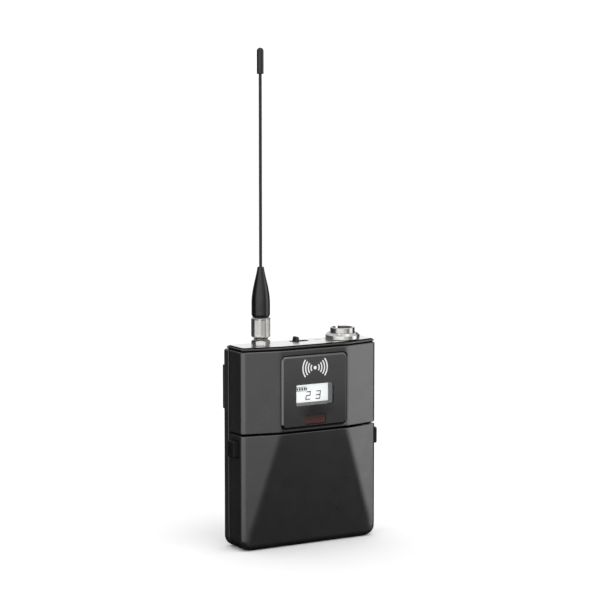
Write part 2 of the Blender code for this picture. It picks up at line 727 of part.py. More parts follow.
def make_cell(name, z, plus_end, minus_end):
    """An AA cell across the case, from its raised plus end to its flat minus end."""
    way = 1 if minus_end > plus_end else -1
    cell = rod("cell_can", CELL_RADIUS, (plus_end + way * 1.2, CELL_Y, z), (minus_end, CELL_Y, z), 28)
    add(cell, rod("cell_nub", 2.6, (plus_end, CELL_Y, z), (plus_end + way * 2, CELL_Y, z), 16))
    piece(cell, name, "cell_wrap")


def make_cells():
    left = LEFT_CONTACT_X + CONTACT_THICK + SLIP
    right = RIGHT_CONTACT_X - SLIP
    make_cell("battery_upper", UPPER_CELL_Z, right, right - CELL_LENGTH)
    make_cell("battery_lower", LOWER_CELL_Z, left, left + CELL_LENGTH)

    thick = CONTACT_THICK
    bridge = slab("bridge", (LEFT_CONTACT_X, -1.8, 17.4), (LEFT_CONTACT_X + thick, 4.4, 41.2))
    piece(bridge, "contact_bridge", "bright_nickel")
    for name, z in (("contact_positive", UPPER_CELL_Z), ("contact_negative", LOWER_CELL_Z)):
        plate = slab("plate", (RIGHT_CONTACT_X, -1.8, z - 4.5), (RIGHT_CONTACT_X + thick, 4.4, z + 4.5))
        piece(plate, name, "bright_nickel")

    springs = (
        ("battery_spring_upper", UPPER_CELL_Z, LEFT_CONTACT_X + thick + SLIP + SPRING_WIRE, 1),
        ("battery_spring_lower", LOWER_CELL_Z, RIGHT_CONTACT_X - SLIP - SPRING_WIRE, -1),
    )
    for name, z, fixed_x, way in springs:
        start = (fixed_x, CELL_Y, z)
        end = (fixed_x + way * SPRING_LENGTH, CELL_Y, z)
        piece(coil("spring", SPRING_RADIUS, SPRING_WIRE, start, end, 2, 10), name, "bright_nickel")


def make_controls():
    panel = slab("panel", (27.3, -1.9, 14.0), (30.5, -0.9, 36.2))
    board = slab("control_board", (27.3, 1.6, 14.0), (30.5, 2.8, 36.2))
    for name, z in BUTTON_ZS.items():
        cut(panel, rod(name + "_hole", BUTTON_RADIUS + SLIP, (BUTTON_X, -5, z), (BUTTON_X, 5, z), 16))
        axis = pivot(name + "_axis", (BUTTON_X, -2.0, z))
        button = rod(name + "_stem", BUTTON_RADIUS, (BUTTON_X, -2.9, z), (BUTTON_X, 1.0, z), 16)
        add(button, slab(name + "_flange", (BUTTON_X - 1.5, -0.6, z - 2.2), (BUTTON_X + 1.5, 0.0, z + 2.2)))
        piece(button, name, "frame_grey", axis)
    piece(panel, "control_panel", "black_plastic")
    piece(board, "control_board", "board_green")


# ---- Battery door, hinge and latches -----------------------------------------------------------------

def make_door():
    axis = pivot("door_axis", (0, HINGE_Y, HINGE_Z))
    door = plan_prism("door_body", 0, -5, SEAM_Z - SEAM_GAP / 2)
    keep(door, front_prism("door_front", 0), door_side_prism("door_side", 0, FRONT_BACK_Y, KNUCKLE_RADIUS))
    half = CASE_HALF - DOOR_WALL
    inside = prism("door_inside", inset(PLAN, DOOR_WALL)[:4] + [(half, 20, 0), (-half, 20, 0)], "Z", -5, 60)
    keep(inside, front_prism("door_inside_front", DOOR_WALL, top=70, top_radius=0))
    keep(inside, door_side_prism("door_inside_side", DOOR_WALL, 15, 0))
    cut(door, inside)
    for low, high in mirrored((18.9, -8.2, 45.6), (20.1, 1.5, 48.3)):
        add(door, slab("spring_rib", low, high))
    for inner, outer in ((12.5, LUG_LOW_X - GAP), (LUG_HIGH_X + GAP, 27.0)):
        for side in (-1, 1):
            low_x, high_x = sorted((side * inner, side * outer))
            start = (low_x, HINGE_Y, HINGE_Z)
            add(door, rod("knuckle", KNUCKLE_RADIUS - 0.05, start, (high_x, HINGE_Y, HINGE_Z)))
    for low, high in mirrored((LUG_LOW_X - GAP, HINGE_Y - 3.2, -2), (LUG_HIGH_X + GAP, 8, 8)):
        cut(door, slab("lug_window", low, high))
    cut(door, hinge_bore("door_bore"))
    window = rectangle(LATCH_FRONT_Y - GAP, LATCH_LOW - GAP, LATCH_BACK_Y + GAP, LATCH_HIGH + GAP, 1)
    for ends in ((-36, -31), (31, 36)):
        cut(door, prism("latch_window", window, "X", *ends))
    piece(door, "battery_door", "case_paint", axis)

    pin = rod("hinge_pin", HINGE_PIN_RADIUS, (-26.8, HINGE_Y, HINGE_Z), (26.8, HINGE_Y, HINGE_Z), 16)
    piece(pin, "door_hinge_pin", "steel")


def make_latch(side, word):
    """A latch at +X or -X: thumb pad, flange behind the door's wall, hook, and an arm over its spring."""
    def block(name, low, high):
        xs = sorted((side * low[0], side * high[0]))
        return slab(name, (xs[0], *low[1:]), (xs[1], *high[1:]))

    axis = pivot("latch_axis_" + word, (side * CASE_HALF, 0, (LATCH_LOW + LATCH_HIGH) / 2))
    pad = rectangle(LATCH_FRONT_Y, LATCH_LOW, LATCH_BACK_Y, LATCH_HIGH, 0.8)
    latch = prism("latch_pad", pad, "X", *sorted((side * 30.9, side * LATCH_OUT_X)))
    arm_z = (LATCH_SPRING_Z - 1.2, LATCH_SPRING_Z + 1.2)
    add(latch, block("latch_flange", (30.3, -3.7, 39.2), (31.5, 3.2, 48.0)))
    add(latch, block("latch_hook", (30.3, 2.0, arm_z[0]), (31.3, 6.6, arm_z[1] - 0.4)))
    add(latch, block("latch_arm", (23.5, -1.3, arm_z[0]), (30.8, 1.1, arm_z[1])))
    spring_line = (-0.1, LATCH_SPRING_Z)
    cut(latch, rod("latch_pocket", 0.95, (side * 20, *spring_line), (side * 27.5, *spring_line), 14))
    piece(latch, "latch_" + word, "black_plastic", axis)

    spring = coil("latch_coil", 0.62, 0.14, (side * 20.5, *spring_line), (side * 25.9, *spring_line), 5)
    piece(spring, "latch_spring_" + word, "steel")


# ---- Belt clip and screws ----------------------------------------------------------------------------

def ribbon(path, thickness):
    """The outline of a bent strip, from the middle line of its thickness."""
    points = [Vector(p) for p in path]
    left = []
    right = []
    for i, here in enumerate(points):
        along = (points[min(i + 1, len(points) - 1)] - points[max(i - 1, 0)]).normalized()
        side = along.orthogonal() * thickness / 2
        left.append((*(here + side), 0))
        right.append((*(here - side), 0))
    return left + right[::-1]


def make_belt_clip():
    axis = pivot("clip_axis", (0, CLIP_AXIS_Y, CLIP_AXIS_Z))
    bend = [(CLIP_Y, CLIP_TOP), (CLIP_Y, 60), (CLIP_Y, 34)]
    for k in range(1, 8):
        t = k / 7
        sink = 0.5 - 0.5 * math.cos(2 * math.pi * min(t * 0.85, 1))
        bend.append((CLIP_Y - 3.8 * sink, 34 - t * (34 - CLIP_TONGUE_LOW)))
    clip = prism("clip_strip", ribbon(bend, CLIP_THICK), "X", -CLIP_HALF, CLIP_HALF)
    front = (
        (-CLIP_TONGUE_HALF, CLIP_TONGUE_LOW - 2, 6),
        (CLIP_TONGUE_HALF, CLIP_TONGUE_LOW - 2, 6),
        (CLIP_TONGUE_HALF, 52, 6),
        (CLIP_HALF - 5, CLIP_BRIDGE_LOW, 3),
        (CLIP_HALF + 1, CLIP_BRIDGE_LOW, 0),
        (CLIP_HALF + 1, CLIP_TOP + 1, 0),
        (-CLIP_HALF - 1, CLIP_TOP + 1, 0),
        (-CLIP_HALF - 1, CLIP_BRIDGE_LOW, 0),
        (-CLIP_HALF + 5, CLIP_BRIDGE_LOW, 3),
        (-CLIP_TONGUE_HALF, 52, 6),
    )
    keep(clip, prism("clip_front", front, "Y", 5, 20))
    cut(clip, prism("clip_window", rectangle(-18, 63, 18, 71, 3.5), "Y", 12, 20))
    ear = (
        (CLIP_Y + CLIP_THICK / 2, CLIP_BRIDGE_LOW, 0),
        (CLIP_Y + CLIP_THICK / 2, CLIP_TOP, 0),
        (CLIP_Y - 1, CLIP_TOP, 0),
        (REAR_Y + CLIP_NOSE_GAP, CLIP_AXIS_Z + 2, 2),
        (REAR_Y + CLIP_NOSE_GAP, CLIP_AXIS_Z - 2, 2),
        (CLIP_Y - 1, CLIP_BRIDGE_LOW, 0),
    )
    for side in (-1, 1):
        ends = sorted((side * (CLIP_HALF - CLIP_THICK), side * CLIP_HALF))
        add(clip, prism("clip_ear", ear[::-1], "X", *ends))
        start = (side * 26.2, CLIP_AXIS_Y, CLIP_AXIS_Z)
        add(clip, rod("clip_stub", 1.2, start, (side * (CLIP_HALF - 0.4), *start[1:]), 16))
    piece(clip, "belt_clip", "clip_steel", axis)


def make_screws():
    for k, (x, z) in enumerate(SCREWS):
        shank = SCREW_HEAD_Y - SCREW_TIP_Y
        shape = ((0, 1.2), (2.2, 1.2), (2.2, 0), (1.0, 0), (1.0, -shank), (0, -shank - 0.4))
        turn = Matrix.Rotation(math.radians(-90), 4, "X")
        screw = turned("screw", shape, (x, SCREW_HEAD_Y, z), 16, matrix=turn)
        cross = slab("cross", (-1.3, -0.3, 0.5), (1.3, 0.3, 2))
        cross.matrix_world = screw.matrix_world
        other = slab("cross", (-0.3, -1.3, 0.5), (0.3, 1.3, 2))
        other.matrix_world = screw.matrix_world
        cut(screw, cross, other)
        piece(screw, "case_screw_%d" % (k + 1), "steel")


make_front_cover()
make_rear_housing()
make_top_cap()
make_deck_plate()
make_display()
make_boards()
make_antenna()
make_input()
make_power_switch()
make_tray()
make_cells()
make_controls()
make_door()
make_latch(-1, "left")
make_latch(1, "right")
make_belt_clip()
make_screws()
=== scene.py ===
"""The looks of the wireless bodypack transmitter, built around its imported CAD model.

Lengths are in millimetres, angles in degrees; the mesh helpers turn them into metres. +Z is up, the front
faces -Y. Places come from the CAD nodes' boxes.
"""
import json
import math

import bmesh
import bpy
from mathutils import Matrix, Vector


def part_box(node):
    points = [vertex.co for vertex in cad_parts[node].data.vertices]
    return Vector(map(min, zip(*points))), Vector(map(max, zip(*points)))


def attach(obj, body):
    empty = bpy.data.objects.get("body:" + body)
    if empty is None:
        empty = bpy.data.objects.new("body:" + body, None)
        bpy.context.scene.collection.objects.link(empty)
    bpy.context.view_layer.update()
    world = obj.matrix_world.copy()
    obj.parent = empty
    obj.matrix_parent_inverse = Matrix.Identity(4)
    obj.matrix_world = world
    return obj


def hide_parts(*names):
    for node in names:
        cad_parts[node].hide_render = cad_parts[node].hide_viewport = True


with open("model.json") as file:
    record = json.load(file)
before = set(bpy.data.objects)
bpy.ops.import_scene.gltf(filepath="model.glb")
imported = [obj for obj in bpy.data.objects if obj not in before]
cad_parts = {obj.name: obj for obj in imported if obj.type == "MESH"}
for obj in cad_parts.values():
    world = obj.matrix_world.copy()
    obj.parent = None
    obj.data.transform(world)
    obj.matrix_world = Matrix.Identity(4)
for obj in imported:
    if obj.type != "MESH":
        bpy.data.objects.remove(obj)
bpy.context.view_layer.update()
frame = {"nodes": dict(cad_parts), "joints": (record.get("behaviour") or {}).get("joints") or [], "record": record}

MM = 0.001
SCENE = bpy.context.scene
RECORD = frame["record"]
BODY_OF = {node: body for body, nodes in RECORD["behaviour"]["bodies"].items() for node in nodes}
JOINT_PLACE = {j["name"]: Vector(j["pos_m"]) / MM for j in frame["joints"] if "pos_m" in j}


def measure(node):
    """Lowest corner, highest corner, middle and half size of a CAD node."""
    low, high = (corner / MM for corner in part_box(node))
    return low, high, (low + high) / 2, (high - low) / 2


def extent(node):
    return measure(node)[:2]


# ---- Places, from the frame ----

COVER_LOW, COVER_HIGH = extent("front_cover")
DOOR_HIGH = extent("battery_door")[1]
HOUSING_HIGH = extent("rear_housing")[1]
CAP_LOW, CAP_HIGH = extent("top_cap")
DECK_LOW, DECK_HIGH = extent("deck_plate")
BEZEL_LOW, BEZEL_HIGH = extent("display_bezel")
LENS_LOW, LENS_HIGH = extent("display_lens")
RED_LOW, RED_HIGH = extent("infrared_window")
LCD_LOW, LCD_HIGH = extent("lcd_panel")
NUT_LOW, NUT_HIGH, NUT_MIDDLE, NUT_HALF = measure("antenna_nut")
LIGHT_LOW, LIGHT_HIGH, LIGHT_MIDDLE, LIGHT_HALF = measure("power_status_light")

CASE_HALF = HOUSING_HIGH.x
CASE_TOP = HOUSING_HIGH.z
FRONT_Y = COVER_LOW.y
SEAM_Z = (DOOR_HIGH.z + COVER_LOW.z) / 2
FRONT_BACK_Y = DOOR_HIGH.y
ANTENNA_X = NUT_MIDDLE.x
INPUT_X = measure("input_connector_shell")[2].x
HINGE = JOINT_PLACE["door_swing"]
CLIP_AXIS = JOINT_PLACE["clip_flex"]

# ---- Sizes of the case ----

GROOVE = 0.6  # between the front pieces and the rear housing
REAR_FRONT_Y = FRONT_BACK_Y + GROOVE
REAR_Y = 9.6
FACET_HALF = 16.0  # half width of the flat middle facet
SIDE_SLOPE = 3.9 / 17.0  # how fast the side facets lean back
TOE_LEAN = 3.55  # how far the door's middle plane leans back at the bottom
CREASE = 1.7  # half width of the soft edge between facets
SIDE_RADIUS = 2.8
REAR_RADIUS = 0.5
BOTTOM_RADIUS = 4.8
TOE_RADIUS = 2.4
EDGE = 0.35
TOP_EDGE = 0.7
BACK_LEAN = 0.3  # the side walls draw in a little towards the groove
BACK_LEAN_LENGTH = 1.1
WALL = 1.3
DOOR_WALL = 1.2
REAR_WALL = 1.0
REAR_SIDE_WALL = 1.4
SEAT_EDGE = 0.5  # chamfer on the edge of the cover around the display panel
KNUCKLE_RADIUS = 2.7
LUG_RADIUS = 2.3
PIN_BORE = 1.0
LUG_XS = (18.5, 23.0)
GAP = 0.3
SLIP = 0.2
LIP_GAP = 0.5  # open seam between the case and the top rim's lip
SLIDER_TRAVEL = 3.0
UNDER_DECK, OVER_DECK = 80, 90  # heights of the cutters that go through the deck
SCREW_XZ = ((-28.4, 77.5), (28.4, 77.5), (-27.2, 9.0), (27.2, 9.0))


# ---- Materials ----

class Look:
    """A Principled material whose pattern nodes work in the piece's own space, at real sizes."""

    def __init__(self, name, color, roughness, **sockets):
        self.material = bpy.data.materials.new(name)
        self.material.use_nodes = True
        self.tree = self.material.node_tree
        self.shader = self.tree.nodes["Principled BSDF"]
        self.put("Base Color", (*color, 1))
        self.put("Roughness", roughness)
        for socket, value in sockets.items():
            self.put(socket.replace("_", " "), value)
        self.place = self.tree.nodes.new("ShaderNodeTexCoord").outputs["Object"]
        self.normal = None

    def put(self, socket, value, node=None):
        """Set a socket of the shader, or of another node, to a value or to a node's output."""
        target = (node or self.shader).inputs[socket]
        if isinstance(value, bpy.types.NodeSocket):
            self.tree.links.new(value, target)
        else:
            target.default_value = value

    def node(self, kind, sockets, **settings):
        """The first output of a new node."""
        made = self.tree.nodes.new("ShaderNode" + kind)
        for key, value in settings.items():
            setattr(made, key, value)
        for socket, value in sockets.items():
            self.put(socket, value, made)
        return next(output for output in made.outputs if output.enabled)

    def noise(self, size, detail, stretch=(1, 1, 1)):
        """Noise whose blobs are about a size in millimetres; stretch lengthens them along an axis."""
        scale = [1 / (size * MM * s) for s in stretch]
        place = self.node("Mapping", {"Vector": self.place, "Scale": scale})
        return self.node("TexNoise", {"Vector": place, "Scale": 1.0, "Detail": detail})

    def spread(self, pattern, low, high, start=0.3, end=0.7):
        """A pattern mapped from its usual range to two values."""
        sockets = {"Value": pattern, "From Min": start, "From Max": end, "To Min": low, "To Max": high}
        return self.node("MapRange", sockets)

    def blend(self, share, low, high):
        return self.node("Mix", {0: share, 6: (*low, 1), 7: (*high, 1)}, data_type="RGBA")

    def colours(self, pattern, low, high, start=0.3, end=0.7):
        """Base colour that follows a pattern between two colours."""
        self.put("Base Color", self.blend(self.spread(pattern, 0, 1, start, end), low, high))

    def shade_by_height(self, start_z, end_z, cloud, amount, tones):
        """Painted shade: base colour that changes from one height to another, with clouds to break it up."""
        upright = self.node("SeparateXYZ", {"Vector": self.place}).node.outputs["Z"]
        height = self.spread(upright, 0, 1, start_z * MM, end_z * MM)
        total = self.node("Math", {0: height, 1: self.spread(cloud, -amount, amount)}, operation="ADD")
        self.colours(total, *tones, 0, 1)

    def roughness(self, pattern, low, high):
        self.put("Roughness", self.spread(pattern, low, high))

    def bump(self, pattern, height):
        """Relief of a height in millimetres; reliefs add up."""
        sockets = {"Height": pattern, "Distance": height * MM}
        if self.normal:
            sockets["Normal"] = self.normal
        self.normal = self.node("Bump", sockets)
        self.put("Normal", self.normal)


def surface(name, tones, gloss, *reliefs, grain=None, polish=None, **sockets):
    """A material made of noise: its darkest and palest colours, and its lowest and highest roughness.

    grain and polish are the (size, detail, stretch) of the noise in its colour and its roughness; each
    relief is (height, size, detail, stretch).
    """
    look = Look(name, tones[0], gloss[0], **sockets)
    if grain:
        look.colours(look.noise(*grain), *tones)
    if polish:
        look.roughness(look.noise(*polish), *gloss)
    for height, *noise in reliefs:
        look.bump(look.noise(*noise), height)
    return look.material


def shades(color, low, high=1.0):
    return [c * low for c in color], [c * high for c in color]


def painted_metal(name, gloss):
    """Fine satin black paint on cast metal."""
    tones = (0.00855, 0.00855, 0.00855), (0.00972, 0.00972, 0.01008)
    return surface(name, tones, gloss, (0.0015, 3, 1), grain=(9, 3), polish=(6, 3), Specular_IOR_Level=1.0)


def moulded(name, color, gloss, size, relief, level=0.5):
    """Injection-moulded plastic with a fine sparked grain."""
    return surface(name, shades(color, 0.85, 1.15), gloss, (relief, size, 3), grain=(5, 4), polish=(1.5, 5),
                   Specular_IOR_Level=level)


def machined(name, color, gloss, relief=0.004, size=0.9, lines=(1, 1, 0.02)):
    """Bare or plated metal with fine tool lines, which run across the short way of the stretch."""
    return surface(name, shades(color, 0.92), gloss, (relief, size, 3, lines), grain=(3, 4), polish=(1.2, 5),
                   Metallic=1.0)


def ink(name, color):
    """Screen-printed ink, slightly uneven."""
    return surface(name, shades(color, 0.85), (0.5,), (0.004, 0.12, 2), grain=(0.4, 4))


def panel_with_painted_reflection(name):
    """Smoked panel with a hard clear surface and painted reflection: paler towards its top, with a painted shade
    that makes it darkest under the display.
    """
    look = Look(name, (0.014, 0.014, 0.015), 0.12)
    tones = (0.005, 0.005, 0.006), (0.034, 0.034, 0.034)
    # painted reflection: the base colour grows paler towards the panel's top
    look.shade_by_height(BEZEL_LOW.z, BEZEL_HIGH.z, look.noise(12, 3), 0.12, tones)
    # painted shade: a patch under the display where the panel reflects less
    centre = (0.8, (BEZEL_LOW.y + BEZEL_HIGH.y) / 2, (LENS_LOW.z + RED_HIGH.z) / 2)
    reach = (10, 20, 5)
    sockets = {"Vector": look.place, "Location": Vector(centre) * MM, "Scale": Vector(reach) * MM}
    patch = look.node("Mapping", sockets, vector_type="TEXTURE")
    shade = look.node("TexGradient", {"Vector": patch}, gradient_type="SPHERICAL").node.outputs["Fac"]
    look.put("Specular IOR Level", look.spread(shade, 0.95, 0.3, 0, 0.75))
    look.roughness(look.noise(6, 6), 0.10, 0.17)
    look.bump(look.noise(3, 2), 0.002)
    return look.material


def red_window(name):
    """Dark red plastic that lets infrared through, with a painted shade that makes it darkest towards its top
    edge.
    """
    look = Look(name, (0.035, 0.008, 0.006), 0.1, Coat_Weight=0.2)
    tones = (0.012, 0.006, 0.006), (0.052, 0.010, 0.007)
    # painted shade: darker towards the window's top edge
    look.shade_by_height(RED_HIGH.z - 0.6, RED_LOW.z + 0.8, look.noise(1.5, 3), 0.2, tones)
    look.roughness(look.noise(4, 4), 0.08, 0.16)
    look.bump(look.noise(2, 2), 0.004)
    return look.material


def display_white(name):
    """Lit white display glass, a little darker towards patches where the light guide is uneven."""
    look = Look(name, (0.80, 0.83, 0.82), 0.35, Emission_Strength=0.62)
    look.colours(look.noise(6, 2), (0.76, 0.80, 0.79), (0.84, 0.86, 0.85))
    glow = look.blend(look.spread(look.noise(9, 1), 0, 1), (0.86, 0.90, 0.89), (1.0, 1.0, 1.0))
    look.put("Emission Color", glow)
    look.bump(look.noise(0.35, 1), 0.002)
    return look.material


def circuit_board(name):
    """Green solder mask over copper traces."""
    look = Look(name, (0.02, 0.13, 0.05), 0.35, Coat_Weight=0.3)
    flat = look.node("Mapping", {"Vector": look.place, "Rotation": (math.radians(90), 0, 0)})
    traces = look.node("TexBrick", {
        "Vector": flat, "Scale": 1 / (4.0 * MM), "Mortar Size": 0.03, "Color1": (0.015, 0.11, 0.04, 1),
        "Color2": (0.02, 0.14, 0.055, 1), "Mortar": (0.04, 0.22, 0.08, 1),
    })
    look.put("Base Color", traces)
    look.roughness(look.noise(2, 4), 0.28, 0.4)
    look.bump(traces.node.outputs["Fac"], 0.02)
    return look.material


PAINT = painted_metal("satin_black_paint", (0.27, 0.31))
HOUSING_PAINT = painted_metal("satin_black_pan_paint", (0.42, 0.48))
PLASTIC = moulded("black_moulded_plastic", (0.013, 0.013, 0.0135), (0.38, 0.5), 0.3, 0.006)
RIM_PLASTIC = moulded("rim_plastic", (0.004, 0.004, 0.004), (0.26, 0.34), 0.3, 0.003, 0.7)
LATCH_PLASTIC = moulded("latch_plastic", (0.006, 0.006, 0.006), (0.5, 0.6), 0.3, 0.004, 0.2)
# painted shadow: near-black, dull plastic for faces that stand in for shadowed gaps
SHADOW_PLASTIC = moulded("painted_shadow_black_plastic", (0.003, 0.003, 0.003), (0.8, 0.95), 0.3, 0.004, 0.05)
INNER_PLASTIC = moulded("inner_black_plastic", (0.018, 0.018, 0.019), (0.45, 0.58), 0.35, 0.014)
KEY_PLASTIC = moulded("grey_key_plastic", (0.32, 0.33, 0.34), (0.4, 0.5), 0.25, 0.008)
WALL_PLASTIC = moulded("pale_frame_plastic", (0.13, 0.135, 0.135), (0.42, 0.52), 0.3, 0.004)
INSULATOR = moulded("insulator_plastic", (0.022, 0.022, 0.023), (0.4, 0.5), 0.25, 0.01)
DECK = surface("satin_deck_metal", shades((0.71, 0.71, 0.70), 0.95), (0.26, 0.36), (0.006, 0.16, 3),
               grain=(7, 4), polish=(2, 5), Metallic=1.0)
NICKEL = machined("polished_nickel", (0.43, 0.425, 0.41), (0.22, 0.30))
NUT_METAL = machined("satin_nut_nickel", (0.46, 0.455, 0.44), (0.32, 0.40))
FLANGE_METAL = machined("satin_nickel", (0.47, 0.465, 0.455), (0.18, 0.28))
STEEL = machined("zinc_steel", (0.50, 0.50, 0.51), (0.25, 0.38), 0.01, 0.5, (1, 1, 1))
TIN = machined("tinned_can", (0.66, 0.66, 0.65), (0.28, 0.4), 0.008, 0.5, (6, 1, 1))
GOLD = machined("contact_gold", (0.95, 0.70, 0.34), (0.16, 0.26))
PAINTED_REFLECTION_PANEL = panel_with_painted_reflection("smoked_panel_painted_reflection")
WINDOW = surface("clear_window", ((0.98, 0.985, 0.99),), (0.01, 0.035), (0.002, 4, 2), polish=(5, 5),
                 Transmission_Weight=1.0, IOR=1.49)
RED_WITH_PAINTED_SHADE = red_window("infrared_red")
LCD = display_white("lit_display")
DIGIT = ink("display_ink", (0.11, 0.115, 0.12))
MARK = ink("white_ink", (0.82, 0.82, 0.82))
RUBBER = surface("antenna_rubber", shades((0.004, 0.004, 0.004), 0.8, 1.3), (0.26, 0.36), (0.003, 0.25, 3),
                 (0.006, 1.4, 2), grain=(4, 5), polish=(2, 5), Specular_IOR_Level=0.42)
LIGHT = surface("light_pipe", ((0.68, 0.70, 0.68), (0.82, 0.84, 0.82)), (0.3,), (0.006, 0.3, 2), grain=(1, 3),
                Transmission_Weight=0.35)
BOARD = circuit_board("solder_mask")
# black-oxide spring steel with faint rolling marks down its length
CLIP_STEEL = surface("black_spring_steel", ((0.018, 0.018, 0.019), (0.023, 0.023, 0.023)), (0.34, 0.42),
                     (0.001, 0.8, 2, (1, 1, 8)), grain=(9, 3), polish=(5, 3, (1, 1, 8)), Metallic=0.3)
# plain dark shrink sleeve of an AA cell
JACKET = surface("cell_jacket", ((0.042, 0.046, 0.055), (0.065, 0.07, 0.085)), (0.22, 0.34), (0.02, 2.5, 3),
                 grain=(14, 3, (0.3, 1, 1)), polish=(3, 5), Metallic=0.3, Coat_Weight=0.5)


# ---- Shapes ----

ORDER = {
    "X": lambda u, v, w: (w, u, v),
    "Y": lambda u, v, w: (u, w, v),
    "Z": lambda u, v, w: (u, v, w),
}


def full(corners):
    """Outline corners as (u, v, radius); a corner given as (u, v) is sharp."""
    return [(*corner, 0)[:3] for corner in corners]


def rounded(corners, steps=8):
    """Points of an outline whose corners are rounded with arcs."""
    corners = full(corners)
    points = []
    for i, (u, v, radius) in enumerate(corners):
        here = Vector((u, v))
        if radius <= 0:
            points.append(here)
            continue
        before = (Vector(corners[i - 1][:2]) - here).normalized()
        after = (Vector(corners[(i + 1) % len(corners)][:2]) - here).normalized()
        half = before.angle(after) / 2
        centre = here + (before + after).normalized() * radius / math.sin(half)
        start = here + before * radius / math.tan(half) - centre
        end = here + after * radius / math.tan(half) - centre
        sweep = start.angle_signed(end)
        for k in range(steps + 1):
            points.append(centre + Matrix.Rotation(-sweep * k / steps, 2) @ start)
    return points


def rectangle(low_u, low_v, high_u, high_v, radius):
    places = ((low_u, low_v), (high_u, low_v), (high_u, high_v), (low_u, high_v))
    return [(u, v, radius) for u, v in places]


def inset(corners, distance):
    """A counter-clockwise outline moved inwards by a distance; corner radii shrink with it."""
    corners = full(corners)
    moved = []
    for i, (u, v, radius) in enumerate(corners):
        here = Vector((u, v))
        into = (here - Vector(corners[i - 1][:2])).normalized()
        away = (Vector(corners[(i + 1) % len(corners)][:2]) - here).normalized()
        normal = (into.orthogonal() + away.orthogonal()).normalized()
        shift = normal * distance / normal.dot(into.orthogonal())
        moved.append((u + shift.x, v + shift.y, max(radius - distance, 0.05) if radius > 0 else 0))
    return moved


def new_object(name, bm):
    bmesh.ops.recalc_face_normals(bm, faces=bm.faces)
    mesh = bpy.data.meshes.new(name)
    bm.to_mesh(mesh)
    bm.free()
    made = bpy.data.objects.new(name, mesh)
    SCENE.collection.objects.link(made)
    return made


def loft(name, rings, closed=False):
    """A skin through rings of points that have equal counts; capped, or joined end to start."""
    bm = bmesh.new()
    rows = [[bm.verts.new(Vector(point) * MM) for point in ring] for ring in rings]
    pairs = list(zip(rows, rows[1:])) + ([(rows[-1], rows[0])] if closed else [])
    for low, high in pairs:
        for i in range(len(low)):
            j = (i + 1) % len(low)
            bm.faces.new((low[i], low[j], high[j], high[i]))
    if not closed:
        bm.faces.new(rows[0][::-1])
        bm.faces.new(rows[-1])
    bmesh.ops.remove_doubles(bm, verts=bm.verts, dist=1e-7)
    return new_object(name, bm)


def soft_ends(low, high, low_edge, high_edge):
    """(height, inset) of a body's rings, whose two end edges are rounded."""
    levels = []
    for end, way, edge in ((low, 1, low_edge), (high, -1, high_edge)):
        count = 4 if edge > 0 else 0
        turns = [math.radians(90) * k / max(count, 1) for k in range(count + 1)]
        side = [(end + way * edge * (1 - math.cos(a)), edge * (1 - math.sin(a))) for a in turns]
        levels += side if way > 0 else side[::-1]
    return levels


def plate(name, corners, axis, low, high, low_edge=0.0, high_edge=0.0, steps=8):
    """An outline pushed along an axis, with rounded edges at its two ends."""
    put = ORDER[axis]
    rings = []
    for height, edge in soft_ends(low, high, low_edge, high_edge):
        rings.append([put(p.x, p.y, height) for p in rounded(inset(corners, edge), steps)])
    return loft(name, rings)


def block(name, low, high, edge=0.0):
    """A box between two corners, with its upright and end edges rounded."""
    corners = rectangle(low[0], low[1], high[0], high[1], max(edge, 0.02))
    return plate(name, corners, "Z", low[2], high[2], edge, edge, 3)


def turned(name, corners, centre, segments=72, closed=False, wave=None, steps=4, axis="Z"):
    """A profile of (radius, height, edge radius) turned about an axis; wave changes the radius."""
    put = ORDER[axis]
    rings = []
    for p in rounded(corners, steps):
        ring = []
        for k in range(segments):
            angle = 2 * math.pi * k / segments
            radius = max(p.x, 1e-5)
            if wave:
                radius = wave(radius, p.y, angle)
            across = centre[0] + radius * math.cos(angle), centre[1] + radius * math.sin(angle)
            ring.append(put(*across, centre[2] + p.y))
        rings.append(ring)
    return loft(name, rings, closed)


def rod(name, radius, start, end, segments=40):
    """A round rod along X, Y or Z, as a cutter or a boss."""
    start, end = Vector(start), Vector(end)
    along = end - start
    turn = along.to_track_quat("Z", "Y")
    rings = []
    for place in (start, end):
        spokes = [Vector((math.cos(a), math.sin(a), 0)) * radius
                  for a in (2 * math.pi * k / segments for k in range(segments))]
        rings.append([place + turn @ spoke for spoke in spokes])
    return loft(name, rings)


def cross_rod(name, radius, low_x, high_x, place, segments=40):
    """A round rod along X through a place."""
    return rod(name, radius, (low_x, place.y, place.z), (high_x, place.y, place.z), segments)


def disc(name, radius, x, y, segments=40):
    """A round upright cutter through the deck."""
    return rod(name, radius, (x, y, UNDER_DECK), (x, y, OVER_DECK), segments)


def final_mesh(target):
    """A new mesh of an object as its modifiers or its curve settings shape it."""
    graph = bpy.context.evaluated_depsgraph_get()
    return bpy.data.meshes.new_from_object(target.evaluated_get(graph))


def apply_modifiers(target):
    mesh = final_mesh(target)
    target.modifiers.clear()
    old = target.data
    target.data = mesh
    bpy.data.meshes.remove(old)


def combine(target, operation, others):
    """Boolean steps, applied; the other shapes are used up."""
    for other in others:
        step = target.modifiers.new(other.name, "BOOLEAN")
        step.operation = operation
        step.solver = "EXACT"
        step.object = other
    apply_modifiers(target)
    for other in others:
        bpy.data.objects.remove(other)


def cut(target, *others):
    combine(target, "DIFFERENCE", others)


def add(target, *others):
    combine(target, "UNION", others)


def keep(target, *others):
    combine(target, "INTERSECT", others)


def join(name, *parts):
    """Separate shapes as one object, such as the strokes of a printed mark."""
    bm = bmesh.new()
    for part in parts:
        bm.from_mesh(part.data)
        bpy.data.objects.remove(part)
    return new_object(name, bm)


